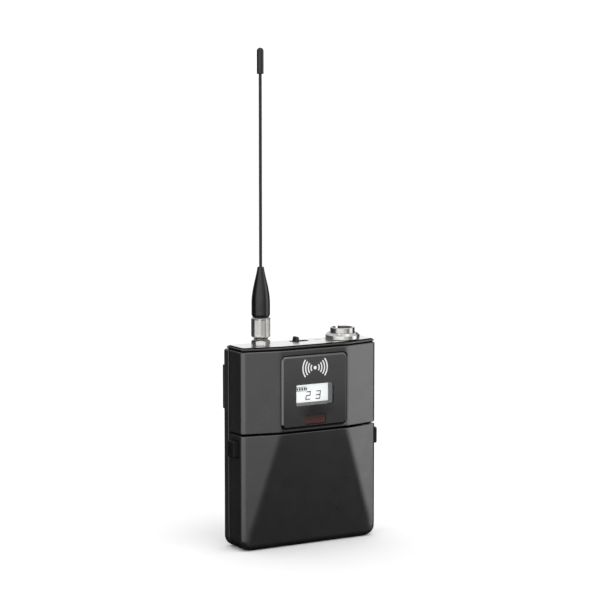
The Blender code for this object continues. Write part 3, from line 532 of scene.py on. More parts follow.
def wire(name, points, radius):
    """A round wire through points."""
    curve = bpy.data.curves.new(name, "CURVE")
    curve.dimensions = "3D"
    curve.bevel_depth = radius * MM
    curve.bevel_resolution = 5
    curve.use_fill_caps = True
    spline = curve.splines.new("POLY")
    spline.points.add(len(points) - 1)
    for point, place in zip(spline.points, points):
        point.co = (*(Vector(place) * MM), 1)
    holder = bpy.data.objects.new(name + "_line", curve)
    SCENE.collection.objects.link(holder)
    mesh = final_mesh(holder)
    bm = bmesh.new()
    bm.from_mesh(mesh)
    bmesh.ops.remove_doubles(bm, verts=bm.verts, dist=1e-7)
    bpy.data.objects.remove(holder)
    bpy.data.meshes.remove(mesh)
    return new_object(name, bm)


def finish(target, look, angle=32):
    """Smooth shading with sharp corners, flat faces kept flat, and one material."""
    target.data.materials.clear()
    target.data.materials.append(look)
    target.data.shade_smooth()
    target.data.set_sharp_from_angle(angle=math.radians(angle))
    normals = target.modifiers.new("normals", "WEIGHTED_NORMAL")
    normals.keep_sharp = True
    normals.weight = 100


def show(target, look, node, angle=32):
    """Show a shape as a finished piece that stands for a CAD node and moves with its body."""
    finish(target, look, angle)
    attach(target, BODY_OF[node])
    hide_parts(node)


def show_print(target, look):
    """Show a print on the case, which stands for no CAD node."""
    finish(target, look)
    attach(target, "case")


def second_look(target, look, chosen):
    """A second material on the faces that a test chooses."""
    target.data.materials.append(look)
    for face in target.data.polygons:
        if chosen(face):
            face.material_index = 1


def refinish(look, *nodes):
    """A better material on CAD nodes that stay as they are."""
    for node in nodes:
        mesh = frame["nodes"][node].data
        mesh.materials.clear()
        mesh.materials.append(look)


# ---- The case's outline ----

def middle_plane(z):
    """The front's middle plane: upright on the cover, leaning back down the door."""
    return FRONT_Y + max(0.0, 1 - z / SEAM_Z) * TOE_LEAN


def front_surface(x, z):
    """Depth of the front at a place: the middle plane and the side facets, with a soft crease."""
    middle = middle_plane(z)
    side = FRONT_Y + (abs(x) - FACET_HALF) * SIDE_SLOPE
    softness = CREASE * SIDE_SLOPE
    near = max(softness - abs(middle - side), 0) / softness
    return max(middle, side) + near * near * softness / 4


def spaced(start, end, count):
    return [start + (end - start) * k / count for k in range(count)]


def case_ring(z, distance=0.0, side=0.0, front=0.0, back=FRONT_BACK_Y, back_radius=0.3):
    """The case seen from above, moved inwards by a distance, and further at its sides and front."""
    half = CASE_HALF - distance - side
    radius = max(SIDE_RADIUS - distance, 0.6)
    corner_x = half - radius
    crease = FACET_HALF + (middle_plane(z) - FRONT_Y) / SIDE_SLOPE
    crease = min(crease, corner_x - CREASE - 0.1)
    xs = spaced(0, crease - CREASE, 6) + spaced(crease - CREASE, crease + CREASE, 12)
    xs += spaced(crease + CREASE, corner_x, 6) + [corner_x]
    inwards = distance + front
    right = [(x, front_surface(x, z) + inwards) for x in xs]
    reach = 0.2
    slope = (front_surface(corner_x, z) - front_surface(corner_x - reach, z)) / reach
    length = math.hypot(1, slope)
    corner_y = right[-1][1] + radius * length
    first = -math.pi / 2 + math.atan(slope)
    for k in range(13):
        angle = first * (1 - k / 12)
        right.append((corner_x + radius * math.cos(angle), corner_y + radius * math.sin(angle)))
    lean = BACK_LEAN if distance == 0 else 0
    right.append((half, back - BACK_LEAN_LENGTH))
    for k in range(5):
        angle = math.radians(90) * k / 4
        drawn = lean + back_radius * (1 - math.cos(angle))
        right.append((half - drawn, back - back_radius * (1 - math.sin(angle))))
    left = [(-x, y) for x, y in right[1:]]
    return [(x, y, z) for x, y in left[::-1] + right]


def case_body(name, distance, low, high, low_edge=0, high_edge=0, back=FRONT_BACK_Y, back_radius=0.3):
    rings = []
    for z, edge in soft_ends(low, high, low_edge, high_edge):
        rings.append(case_ring(z, distance, edge, edge, back, back_radius))
    return loft(name, rings)


def arc_sink(height, radius):
    """How far a rounded edge has drawn in at a height above its end."""
    return radius - math.sqrt(max(radius ** 2 - (radius - min(height, radius)) ** 2, 0))


def door_ring(z, distance, back=None):
    """A section of the door, whose bottom corners, toe and knuckle edge are rounded."""
    height = z - distance
    side = arc_sink(height, BOTTOM_RADIUS - distance)
    front = arc_sink(height, TOE_RADIUS - distance)
    if back is None:
        back = FRONT_BACK_Y - arc_sink(height, KNUCKLE_RADIUS)
    return case_ring(z, distance, side=side, front=front, back=back)


def door_levels(low, high, radius):
    """Heights of the door's sections: close together round its bottom edge."""
    rise = [low + radius * (1 - math.cos(math.radians(90) * k / 14)) for k in range(15)]
    return rise + spaced(low + radius, high, 12)[1:] + [high]


def front_outline(distance=0.0, high=CASE_TOP):
    half = CASE_HALF - distance
    radius = BOTTOM_RADIUS - distance
    return [(-half, distance, radius), (half, distance, radius), (half, high, 1.0), (-half, high, 1.0)]


def both_sides(low_x, high_x):
    return (low_x, high_x), (-high_x, -low_x)


# ---- Case pieces ----

BEZEL = rectangle(BEZEL_LOW.x, BEZEL_LOW.z, BEZEL_HIGH.x, BEZEL_HIGH.z, 2.0)
LENS = rectangle(LENS_LOW.x, LENS_LOW.z, LENS_HIGH.x, LENS_HIGH.z, 0.6)
RED_OUTLINE = rectangle(RED_LOW.x, RED_LOW.z, RED_HIGH.x, RED_HIGH.z, 0.4)


def make_cover():
    cover = case_body("cover_shell", 0, COVER_LOW.z, COVER_HIGH.z, EDGE, TOP_EDGE)
    inside = case_body("cover_inside", WALL, COVER_LOW.z + 1.2, CASE_TOP + 5, back=20)
    seat = plate("bezel_seat", inset(BEZEL, -SLIP), "Y", FRONT_Y - 3, BEZEL_HIGH.y + GAP)
    opening = plate("bezel_opening", inset(BEZEL, 1.4), "Y", FRONT_Y - 3, 0)
    mouth = []
    for y, grow in ((FRONT_Y - 0.15, SEAT_EDGE + 0.15), (FRONT_Y + SEAT_EDGE, 0)):
        mouth.append([(p.x, y, p.y) for p in rounded(inset(BEZEL, -SLIP - grow))])
    cut(cover, inside, seat, opening, loft("seat_mouth", mouth))
    show(cover, PAINT, "front_cover")


def screw_places(low_y, high_y):
    return [((x, low_y, z), (x, high_y, z)) for x, z in SCREW_XZ]


def make_housing():
    housing = plate("rear_shell", front_outline(), "Y", REAR_FRONT_Y, REAR_Y, EDGE, REAR_RADIUS, 14)
    cut(housing, plate("rear_inside", front_outline(REAR_SIDE_WALL, 95), "Y", 0, REAR_Y - REAR_WALL))
    solids = []
    for low_x, high_x in both_sides(*LUG_XS):
        solids.append(block("lug_arm", (low_x, HINGE.y, 0.6), (high_x, 7, 5), 0.2))
        solids.append(cross_rod("lug", LUG_RADIUS, low_x, high_x, HINGE))
    nose, foot = CLIP_AXIS.y + 1.9, REAR_Y - 0.4
    ear = [(foot, 61), (nose, CLIP_AXIS.z - 1.2, 1.9), (nose, CLIP_AXIS.z + 1.2, 1.9), (foot, 73)]
    for low_x, high_x in both_sides(25.9, 28.9):
        solids.append(plate("clip_lug", ear, "X", low_x, high_x, 0.25, 0.25, 10))
    solids += [rod("screw_boss", 3.4, *ends) for ends in screw_places(6.9, 9.0)]
    add(housing, *solids)
    bores = [cross_rod("lug_bore", PIN_BORE, -30, 30, HINGE)]
    bores += [cross_rod("clip_bore", 1.5, *ends, CLIP_AXIS) for ends in both_sides(25, 30)]
    bores += [rod("screw_hole", 1.3, *ends) for ends in screw_places(6, 9)]
    bores += [rod("screw_seat", 2.5, *ends) for ends in screw_places(7.9, 11)]
    cut(housing, *bores)
    show(housing, HOUSING_PAINT, "rear_housing")


def make_cap_and_deck():
    """The top rim: a lip over the case's edge, a plug inside its walls, and the deck plate it holds."""
    lip_inset = CASE_HALF - CAP_HIGH.x
    deck_inset = CASE_HALF - DECK_HIGH.x
    lip_back, back = CAP_HIGH.y, DECK_HIGH.y
    cap = case_body("cap_lip", lip_inset, CASE_TOP + LIP_GAP, CAP_HIGH.z, 0.15, 0.5, lip_back, 1.2)
    plug = case_body("cap_plug", deck_inset + GAP, CAP_LOW.z, DECK_LOW.z - 0.1, 0.3, 0, back - GAP, 0.4)
    recess = case_body("cap_recess", deck_inset - SLIP, DECK_LOW.z - GAP, CAP_HIGH.z + 3, back=back + SLIP,
                       back_radius=0.4)
    # the bead and the collar are thin fins whose faces carry painted shadow lines beside the deck and in the seam
    bead = case_body("cap_bead", deck_inset - SLIP - 0.3, CAP_HIGH.z - 0.3, DECK_HIGH.z + 0.25, 0, 0.1,
                     back + SLIP + 0.3, 0.6)
    collar = case_body("cap_collar", lip_inset + 0.55, CASE_TOP + 0.06, CAP_HIGH.z - 0.5, back=lip_back - 0.5,
                       back_radius=0.8)
    slot_x = measure("power_slider")[2].x + SLIDER_TRAVEL / 2
    middle_y = LIGHT_MIDDLE.y
    stem_way = block("stem_way", (slot_x - 2.9, middle_y - 1.1, UNDER_DECK),
                     (slot_x + 2.9, middle_y + 1.1, OVER_DECK), 0.1)
    add(cap, plug, collar, bead)
    cut(cap, recess, stem_way, *deck_holes())
    show(cap, RIM_PLASTIC, "top_cap")
    ridge = (CASE_TOP + LIP_GAP + 0.05, CAP_HIGH.z - 0.02)
    # painted shadow: every face of the rim outside its ridge band is near-black, standing for shadowed gaps
    second_look(cap, SHADOW_PLASTIC, lambda face: not ridge[0] < face.center.z / MM < ridge[1])

    deck = case_body("deck_body", deck_inset, DECK_LOW.z, DECK_HIGH.z, 0, 0.12, back, 0.4)
    slot = rectangle(slot_x - 4.5, middle_y - 2, slot_x + 4.5, middle_y + 2, 1.95)
    cut(deck, plate("switch_slot", slot, "Z", UNDER_DECK, OVER_DECK), *deck_holes())
    show(deck, DECK, "deck_plate")
    # painted shadow: the deck's sides and rounded top edge are near-black, as a shadowed gap round the deck
    second_look(deck, SHADOW_PLASTIC, lambda face: face.normal.z < 0.9)


def deck_holes():
    places = ((3.4, ANTENNA_X, 0), (5.6, INPUT_X, 0), (1.3, LIGHT_MIDDLE.x, LIGHT_MIDDLE.y))
    return [disc("deck_hole", *place) for place in places]


def make_bezel():
    depth = BEZEL_HIGH.y - BEZEL_LOW.y
    rings = []
    for y, edge in ((0, 0.7), (0.05, 0.52), (0.48, -0.06), (0.6, -0.14), (depth, -0.14)):
        rings.append([(p.x, BEZEL_LOW.y + y, p.y) for p in rounded(inset(BEZEL, edge))])
    bezel = loft("bezel_panel", rings)
    hole = plate("window_hole", inset(LENS, -SLIP), "Y", -12, 0)
    cut(bezel, hole, plate("red_hole", inset(RED_OUTLINE, -SLIP), "Y", -12, 0))
    show(bezel, PAINTED_REFLECTION_PANEL, "display_bezel")
    lens = plate("window_lens", LENS, "Y", LENS_LOW.y, LENS_HIGH.y, 0.12, 0)
    show(lens, WINDOW, "display_lens")
    # painted shadow: the lens's side faces are near-black, hiding the bright edge of the clear glass
    second_look(lens, SHADOW_PLASTIC, lambda face: abs(face.normal.y) < 0.5)
    show(plate("red_lens", RED_OUTLINE, "Y", RED_LOW.y, RED_HIGH.y, 0.12, 0), RED_WITH_PAINTED_SHADE, "infrared_window")


def make_display():
    low, high = extent("lcd_frame")
    walls = block("display_walls", low, high, 0.2)
    rings = []
    for y, grow in ((low.y - 1, 0.3), (high.y + 1, -0.9)):
        rings.append([(p.x, y, p.y) for p in rounded(inset(LENS, -grow))])
    cut(walls, loft("walls_hole", rings))
    show(walls, WALL_PLASTIC, "lcd_frame")
    glass = rectangle(LCD_LOW.x, LCD_LOW.z, LCD_HIGH.x, LCD_HIGH.z, 0.2)
    show(plate("display_glass", glass, "Y", LCD_LOW.y, LCD_HIGH.y, 0.1, 0.1), LCD, "lcd_panel")


# strokes that a 2 and a 3 share, as (start, end) in halves of a digit's width and height
SHARED_STROKES = [((-1, 2), (1, 2)), ((1, 2), (1, 0)), ((-1, 0), (1, 0)), ((-1, -2), (1, -2))]
# each digit's centre, and the side of its lower upright stroke
DIGITS = ((-1.3, -1), (3.6, 1))


def make_digits():
    """Two digits of straight strokes and a battery gauge on the display's glass."""
    low_y, high_y = LCD_LOW.y - 0.04, LCD_LOW.y - 0.005
    middle_z = (LENS_LOW.z + LENS_HIGH.z) / 2 - 1.0
    thick, half_w, half_h, lean = 0.24, 0.95, 0.8, 0.12
    bars = []
    for centre_x, side in DIGITS:
        for stroke in SHARED_STROKES + [((side, 0), (side, -2))]:
            start, end = [Vector((u * half_w, v * half_h)) for u, v in stroke]
            along = (end - start).normalized() * thick
            out = along.orthogonal()
            points = (start - along, start - out, end - out, end + along, end + out, start + out)
            outline = [(centre_x + p.x + p.y * lean, middle_z + p.y) for p in points]
            bars.append(plate("bar", outline, "Y", low_y, high_y))
    gauge_z, left, wide, tall, rim = LENS_HIGH.z - 2.4, LENS_LOW.x + 1.5, 5.3, 0.95, 0.2
    right = left + wide
    case = rectangle(left, gauge_z - tall, right, gauge_z + tall, 0.15)
    hole = rectangle(left + rim, gauge_z - tall + rim, right - rim, gauge_z + tall - rim, 0.05)
    bars.append(plate("gauge", case, "Y", low_y, high_y))
    cut(bars[-1], plate("gauge_hole", hole, "Y", low_y - 1, high_y + 1))
    bars.append(block("gauge_tip", (right, low_y, gauge_z - 0.4), (right + 0.4, high_y, gauge_z + 0.4)))
    step = (wide - 2 * rim) / 4
    bar_half = tall - 2 * rim
    for k in range(4):
        start = left + rim + (k + 0.15) * step
        bars.append(block("gauge_bar", (start, low_y, gauge_z - bar_half),
                          (start + 0.7 * step, high_y, gauge_z + bar_half)))
    show_print(join("display_digits", *bars), DIGIT)


def make_mark():
    """A plain wireless pictogram, printed above the display: a dot between pairs of arcs."""
    low_y, high_y = BEZEL_LOW.y - 0.03, BEZEL_LOW.y + 0.05
    middle_z = (LENS_HIGH.z + BEZEL_HIGH.z) / 2 + 0.8
    half_thick = 0.28
    strokes = [rod("dot", 0.75, (0, low_y, middle_z), (0, high_y, middle_z))]
    for radius in (2.0, 3.3, 4.6, 5.9):
        for facing in (0, 180):
            turns = [math.radians(facing - 38 + 76 * k / 12) for k in range(13)]
            spokes = [Vector((math.cos(a), math.sin(a))) for a in turns]
            points = [p * (radius + half_thick) for p in spokes]
            points += [p * (radius - half_thick) for p in spokes[::-1]]
            strokes.append(plate("arc", [(p.x, middle_z + p.y) for p in points], "Y", low_y, high_y))
    show_print(join("wireless_mark", *strokes), MARK)


# ---- Battery door and latches ----

def make_door():
    high = DOOR_HIGH.z
    rings = [door_ring(z, 0) for z in door_levels(0, high - EDGE, BOTTOM_RADIUS)]
    for z, edge in soft_ends(high - 2 * EDGE, high, 0, EDGE)[1:]:
        rings.append(case_ring(z, 0, edge, edge))
    rings = [r for i, r in enumerate(rings) if i == 0 or r[0][2] > rings[i - 1][0][2] + 1e-4]
    door = loft("door_shell", rings)
    levels = door_levels(DOOR_WALL, high + 12, BOTTOM_RADIUS - DOOR_WALL)
    cut(door, loft("door_inside", [door_ring(z, DOOR_WALL, back=20) for z in levels]))
    lug_low, lug_high = LUG_XS[0] - GAP, LUG_XS[1] + GAP
    solids = []
    for low_x, high_x in both_sides(18.9, 20.1):
        solids.append(block("spring_rib", (low_x, -8.2, 45.6), (high_x, 1.5, 48.3)))
    for ends in (*both_sides(12.5, lug_low), *both_sides(lug_high, 27.0)):
        solids.append(cross_rod("knuckle", KNUCKLE_RADIUS - 0.05, *ends, HINGE, 64))
    add(door, *solids)
    holes = []
    for low_x, high_x in both_sides(lug_low, lug_high):
        holes.append(block("lug_window", (low_x, HINGE.y - 3.2, -2), (high_x, 8, 8)))
    holes.append(cross_rod("door_bore", PIN_BORE, -30, 30, HINGE))
    for ends in both_sides(31, 36):
        holes.append(plate("latch_window", inset(LATCH, -GAP), "X", *ends))
    cut(door, *holes)
    show(door, PAINT, "battery_door")


# the latch's thumb pad, seen from its side
LATCH = rectangle(-2.8, 39.7, 2.2, 46.7, 0.8)


def make_latches():
    for side, word in ((-1, "left"), (1, "right")):
        low, high = extent("latch_" + word)
        outer = max(abs(low.x), abs(high.x)) + 0.6

        def part(name, near, far, edge=0.1):
            ends = sorted((side * near[0], side * far[0]))
            return block(name, (ends[0], *near[1:]), (ends[1], *far[1:]), edge)

        ends = sorted((side * 30.9, side * outer))
        edges = (0.5, 0) if side < 0 else (0, 0.5)
        latch = plate("thumb_latch_" + word, LATCH, "X", *ends, *edges)
        for k in range(4):
            cut(latch, part("grip", (outer - 0.25, -2.1 + k, 41.2), (outer + 1, -1.75 + k, 46.0), 0.08))
        add(
            latch,
            part("flange", (30.3, low.y, low.z), (31.5, 3.2, high.z)),
            part("hook", (30.3, 2.0, 45.6), (31.3, high.y, 47.6)),
            part("arm", (23.5, -1.3, 45.6), (30.8, 1.1, 48.0)),
        )
        cut(latch, rod("pocket", 0.95, (side * 20, -0.1, 46.8), (side * 27.5, -0.1, 46.8)))
        show(latch, LATCH_PLASTIC, "latch_" + word)
        show_spring("latch_coil_" + word, "latch_spring_" + word, STEEL, 0.14, 0.62, 5, 20)


def show_spring(name, node, look, thick, radius, turns, steps):
    """A coil of round wire along X."""
    low, high, centre, _ = measure(node)
    start, length = low.x + thick, high.x - low.x - 2 * thick
    points = []
    for k in range(turns * steps + 1):
        angle = 2 * math.pi * k / steps
        x = start + length * k / (turns * steps)
        points.append((x, centre.y + radius * math.cos(angle), centre.z + radius * math.sin(angle)))
    show(wire(name, points, thick), look, node)


# ---- Antenna ----

ANTENNA_BASE = (ANTENNA_X, 0, 0)


def make_jack():
    low, high = extent("antenna_jack")
    pitch, crest, root = 0.7, 3.1, 2.82
    top = high.z - 0.3
    jack = [(0, 86), (0.8, 86), (0.8, 91), (2.1, 91), (2.1, high.z, 0.1), (2.9, high.z, 0.1)]
    for k in range(int((top - DECK_HIGH.z) / pitch * 2)):
        jack.append((crest if k % 2 else root, top - k * pitch / 2))
    jack += [(crest, DECK_HIGH.z - 0.5), (crest, 82.7), (4.2, 82.7, 0.1), (4.2, 81.5, 0.1), (2.6, 81.5),
             (2.6, low.z, 0.2), (0, low.z)]
    show(turned("jack_body", jack, ANTENNA_BASE), NICKEL, "antenna_jack")

    low, high, _, half = measure("antenna_jack_nut")
    radius = half.x
    turns = [math.radians(30 + 60 * k) for k in range(6)]
    corners = [(ANTENNA_X + radius * math.cos(a), radius * math.sin(a), 0.15) for a in turns]
    nut = plate("jack_nut", corners, "Z", low.z, high.z, 0.05, 0.05)
    wide = radius * 1.05
    chamfer = [(0, high.z), (radius * 0.84, high.z), (wide, high.z - 0.6), (wide, low.z - 1), (0, low.z - 1)]
    keep(nut, turned("nut_chamfer", chamfer, ANTENNA_BASE))
    cut(nut, disc("nut_hole", 3.25, ANTENNA_X, 0, 64))
    show(nut, NICKEL, "antenna_jack_nut", angle=25)


def make_coupling_nut():
    low, high = NUT_LOW.z, NUT_HIGH.z
    outer = NUT_HALF.x
    flutes, flute_depth, first_flute = 9, 0.13, math.radians(-104.6)

    def fluted(r, z, angle):
        """Shallow upright flutes in the middle of the nut's outer wall."""
        if r < outer - 0.25:
            return r
        ends = min((z - low - 0.7) / 0.3, (high - 0.7 - z) / 0.3, 1)
        groove = (1 + math.cos(flutes * (angle - first_flute))) / 2
        return r - flute_depth * max(ends, 0) * groove

    bore, thread, shelf = 2.0, 3.35, 96.4
    profile = [(bore, high), (3.3, high, 0.12), (outer, high - 0.5, 0.15)]
    profile += [(outer, z) for z in spaced(high - 0.6, low + 0.6, 40)]
    profile += [(outer, low + 0.5, 0.15), (3.6, low, 0.1), (thread, low), (thread, shelf), (bore, shelf)]
    nut = turned("coupling_nut", profile, ANTENNA_BASE, 240, closed=True, wave=fluted)
    show(nut, NUT_METAL, "antenna_nut", angle=40)


def make_whip():
    whip_low, whip_high, _, half = measure("antenna_whip")
    whip_radius = half.x
    bore = whip_radius + SLIP
    _, high, _, half = measure("antenna_boot")
    widest, neck, shoulder, fullness = half.x, 1.4, 103.5, 0.78
    foot, inner, bore_end = NUT_HIGH.z + 0.06, 2.0, 101.3
    boot = [(bore, high.z), (neck, high.z, 0.25)]
    for k in range(1, 33):
        t = k / 32
        u = t ** fullness
        boot.append((neck + (widest - neck) * (3 * u * u - 2 * u ** 3), high.z - (high.z - shoulder) * t))
    boot += [(widest, foot + 0.9, 0.4), (3.45, foot, 0.3), (inner, foot), (inner, bore_end), (bore, bore_end)]
    show(turned("boot_sleeve", boot, ANTENNA_BASE, closed=True), RUBBER, "antenna_boot", angle=40)

    def wound(r, z, angle):
        """The whip's close winding, 1 mm a turn, as a ridge that climbs round it."""
        return r - 0.04 * (1 - math.cos(angle - 2 * math.pi * z)) if r > 0.3 else r

    length = whip_high.z - whip_low.z
    count = round(length / 0.14)
    whip = [(whip_radius, whip_high.z - length * k / count) for k in range(count + 1)]
    whip = [(0, whip_high.z)] + whip + [(0, whip_low.z)]
    show(turned("wound_whip", whip, ANTENNA_BASE, 16, wave=wound), RUBBER, "antenna_whip", angle=60)

    low, high, _, half = measure("antenna_tip_cap")
    radius, whip_end = half.x, 206.3
    tip = [(0, high.z), (radius, high.z, radius * 0.95), (radius, low.z, 0.25), (bore, low.z),
           (bore, whip_end), (0, whip_end)]
    show(turned("whip_tip", tip, ANTENNA_BASE, 48, steps=10), RUBBER, "antenna_tip_cap", angle=40)


# ---- Microphone input ----

def make_input():
    base = (INPUT_X, 0, 0)
    low, high, _, half = measure("input_connector_shell")
    barrel, bore, outer, top, bottom = 5.3, 4.3, half.x, high.z, low.z
    shell = [(bore, top, 0.15), (barrel, top, 0.3), (barrel, 82.7), (outer, 82.7, 0.1), (outer, 81.4, 0.1),
             (barrel, 81.4), (barrel, bottom, 0.2), (bore, bottom)]
    ring = turned("input_barrel", shell, base, 96, closed=True)
    cut(ring, block("key_slot", (INPUT_X - 0.8, 0, 89.2), (INPUT_X + 0.8, 8, 95), 0.1))
    show(ring, NICKEL, "input_connector_shell")

    low, high, _, half = measure("input_connector_nut")
    outer = half.x
    profile = [(5.5, high.z, 0.1), (6.4, high.z, 0.2), (outer, high.z - 1, 0.2), (outer, low.z, 0.15),
               (5.5, low.z)]
    flange = turned("input_flange", profile, base, 96, closed=True)
    notches = []
    for angle in range(45, 360, 90):
        notch = block("notch", (5.8, -0.7, high.z - 0.7), (9, 0.7, 95), 0.15)
        turn = Matrix.Rotation(math.radians(angle), 4, "Z")
        notch.data.transform(Matrix.Translation(Vector(base) * MM) @ turn)
        notches.append(notch)
    cut(flange, *notches)
    show(flange, FLANGE_METAL, "input_connector_nut")

    for k in range(1, 5):
        node = "input_pin_%d" % k
        low, high, middle, half = measure(node)
        radius = half.x
        profile = [(0, high.z), (radius, high.z, radius * 0.8), (radius, low.z, 0.1), (0, low.z)]
        show(turned("contact_pin_%d" % k, profile, (middle.x, middle.y, 0), 32), GOLD, node)


def make_power_switch():
    low, high, middle, _ = measure("power_slider")
    x, y = middle.x, middle.y
    base = rectangle(low.x, low.y, high.x, high.y, 1.2)
    knob = plate("switch_knob", base, "Z", DECK_LOW.z - 0.05, 85.8, 0.05, 0.2)
    ridge = [(x - 1.0, 85.5), (x + 1.0, 85.5), (x + 0.6, high.z, 0.35), (x - 0.6, high.z, 0.35)]
    add(
        knob,
        plate("ridge", ridge, "Y", low.y, high.y, 0.25, 0.25),
        block("stem", (x - 0.8, y - 0.8, low.z), (x + 0.8, y + 0.8, 85.4)),
    )
    show(knob, PLASTIC, "power_slider")

    low, high, radius = LIGHT_LOW.z, LIGHT_HIGH.z, LIGHT_HALF.x
    profile = [(0, high), (radius, high - 0.1, 0.2), (radius, low, 0.1), (0, low)]
    light = turned("status_light", profile, (LIGHT_MIDDLE.x, LIGHT_MIDDLE.y, 0), 48)
    show(light, LIGHT, "power_status_light")


# ---- Inside the battery compartment ----

def make_cells():
    for word, plus in (("upper", 1), ("lower", -1)):
        _, _, middle, size = measure("battery_" + word)
        half, radius = size.x, size.z
        step = half - 1.2
        ends = [(0, half), (2.6, half, 0.4), (2.6, step, 0.1), (5.6, step, 0.2), (5.9, half - 1.0, 0.1),
                (6.2, step, 0.1), (radius, half - 1.6, 0.4), (radius, 0.6 - half, 0.4),
                (5.6, 0.2 - half, 0.2), (5.0, -half, 0.1), (0, -half)]
        profile = [(r, plus * along, *edge) for r, along, *edge in ends]
        cell = turned("cell_" + word, profile, (middle.y, middle.z, middle.x), axis="X")
        show(cell, JACKET, "battery_" + word)

        def bare(face):
            from_end = half - plus * (face.center.x / MM - middle.x)
            away = math.hypot(face.center.y / MM - middle.y, face.center.z / MM - middle.z)
            return away < radius - 0.9 or from_end < 1.3

        second_look(cell, TIN, bare)
        show_spring("cell_spring_" + word, "battery_spring_" + word, NICKEL, 0.3, 2.4, 2, 36)


def make_keys():
    for word in ("menu", "enter"):
        low, high, middle, _ = measure(word + "_button")
        profile = [(0, high.y), (1.25, high.y, 0.1), (1.25, low.y, 0.35), (0, low.y)]
        key = turned(word + "_key_cap", profile, (middle.x, middle.z, 0), 48, axis="Y")
        add(key, block("key_flange", (low.x, -0.6, low.z), (high.x, 0, high.z), 0.1))
        show(key, KEY_PLASTIC, word + "_button")


# ---- Belt clip and screws ----

def make_clip():
    """A sheet of spring steel: a bridge across the back, a tongue bent in to grip, and two ears."""
    low, high = extent("belt_clip")
    thick, sink_depth = 1.2, 3.8
    plate_y = CLIP_AXIS.y + 2.7
    tongue_low, bend = low.z + 0.25, 34
    line = [(plate_y, high.z), (plate_y, 60), (plate_y, bend)]
    for k in range(1, 29):
        t = k / 28
        sink = 0.5 - 0.5 * math.cos(2 * math.pi * t * 0.85)
        line.append((plate_y - sink_depth * sink, bend - t * (bend - tongue_low)))
    inner, outer = [], []
    for i, (y, z) in enumerate(line):
        ahead, behind = line[min(i + 1, len(line) - 1)], line[max(i - 1, 0)]
        side = (Vector(ahead) - Vector(behind)).normalized().orthogonal() * thick / 2
        inner.append((y + side.x, z + side.y))
        outer.append((y - side.x, z - side.y))
    clip = plate("spring_clip", inner + outer[::-1], "X", low.x, high.x)
    half, tongue, bridge, top = high.x, 17.0, 58.0, high.z
    corner = [(half - 5, bridge, 3), (half + 1, bridge, 0), (half + 1, top + 1, 0)]
    front = [(-tongue, tongue_low - 2, 6), (tongue, tongue_low - 2, 6), (tongue, 52, 6)] + corner
    front += [(-u, v, r) for u, v, r in corner[::-1]] + [(-tongue, 52, 6)]
    keep(clip, plate("clip_front", front, "Y", 5, 20, steps=12))
    cut(clip, plate("clip_window", rectangle(-18, 63, 18, 71, 3.5), "Y", 12, 20, steps=12))
    rounding = clip.modifiers.new("edges", "BEVEL")
    rounding.width = 0.22 * MM
    rounding.segments = 2
    rounding.limit_method = "ANGLE"
    rounding.angle_limit = math.radians(50)
    apply_modifiers(clip)
    back, nose = plate_y + thick / 2 - 0.05, REAR_Y + 0.5
    ear = [(plate_y - 1, bridge, 0.5), (back, bridge, 0.3), (back, top, 0.3), (plate_y - 1, top, 0.5),
           (nose, CLIP_AXIS.z + 2, 2), (nose, CLIP_AXIS.z - 2, 2)]
    solids = []
    for side in (-1, 1):
        ends = sorted((side * (half - thick), side * half))
        solids.append(plate("ear", ear, "X", *ends, 0.2, 0.2, 8))
        solids.append(cross_rod("stub", 1.2, side * 26.2, side * (half - 0.4), CLIP_AXIS))
    add(clip, *solids)
    show(clip, CLIP_STEEL, "belt_clip", angle=40)


def make_screws():
    pitch, crest, root, head_radius = 0.5, 1.0, 0.8, 2.2
    for k, (x, z) in enumerate(SCREW_XZ, 1):
        low, high = extent("case_screw_%d" % k)
        head = high.y
        profile = [(0, head), (head_radius, head, 0.5), (head_radius, head - 1.2, 0.1), (crest, head - 1.2)]
        for turn in range(int((head - 1.6 - low.y - 0.4) / pitch * 2)):
            profile.append((root if turn % 2 else crest, head - 1.4 - turn * pitch / 2))
        screw = turned("cross_screw_%d" % k, profile + [(0, low.y)], (x, z, 0), 48, axis="Y")
        for wide, tall in ((1.3, 0.3), (0.3, 1.3)):
            cut(screw, block("cross", (x - wide, head - 0.8, z - tall), (x + wide, head + 1, z + tall), 0.08))
        show(screw, STEEL, "case_screw_%d" % k)


# ---- Carried-over nodes ----

def refinish_inside():
    refinish(BOARD, "main_circuit_board", "display_board", "control_board")
    refinish(TIN, "radio_shield")
    refinish(INNER_PLASTIC, "battery_tray", "power_switch_body", "control_panel")
    refinish(INSULATOR, "infrared_receiver", "input_connector_insulator")
    refinish(NICKEL, "contact_bridge", "contact_positive", "contact_negative")
    refinish(GOLD, "antenna_contact")
    refinish(STEEL, "door_hinge_pin")


# ---- Stage: floor, light and camera ----

def make_floor():
    bm = bmesh.new()
    bmesh.ops.create_circle(bm, cap_ends=True, segments=96, radius=12)
    floor = new_object("studio_floor", bm)
    look = Look("studio_paper", (0.9, 0.9, 0.9), 0.9, Specular_IOR_Level=0.1)
    look.colours(look.noise(60, 2), (0.91, 0.91, 0.91), (0.93, 0.93, 0.93))
    finish(floor, look.material)
    floor.visible_glossy = False


def reflector(name, quads, radiance):
    """A card that only shows in reflections."""
    bm = bmesh.new()
    for quad in quads:
        bm.faces.new([bm.verts.new(place) for place in quad])
    card = new_object(name, bm)
    paper = bpy.data.materials.new(name)
    paper.use_nodes = True
    tree = paper.node_tree
    tree.nodes.clear()
    glow = tree.nodes.new("ShaderNodeEmission")
    glow.inputs["Strength"].default_value = radiance
    tree.links.new(glow.outputs[0], tree.nodes.new("ShaderNodeOutputMaterial").inputs["Surface"])
    card.data.materials.append(paper)
    for ray in ("camera", "diffuse", "transmission", "shadow"):
        setattr(card, "visible_" + ray, False)


def toward(heading, rise=0.0):
    """The direction of a heading, measured from -Y towards +X, and a rise."""
    turn, lift = math.radians(heading), math.radians(rise)
    return Vector((math.sin(turn) * math.cos(lift), -math.cos(turn) * math.cos(lift), math.sin(lift)))


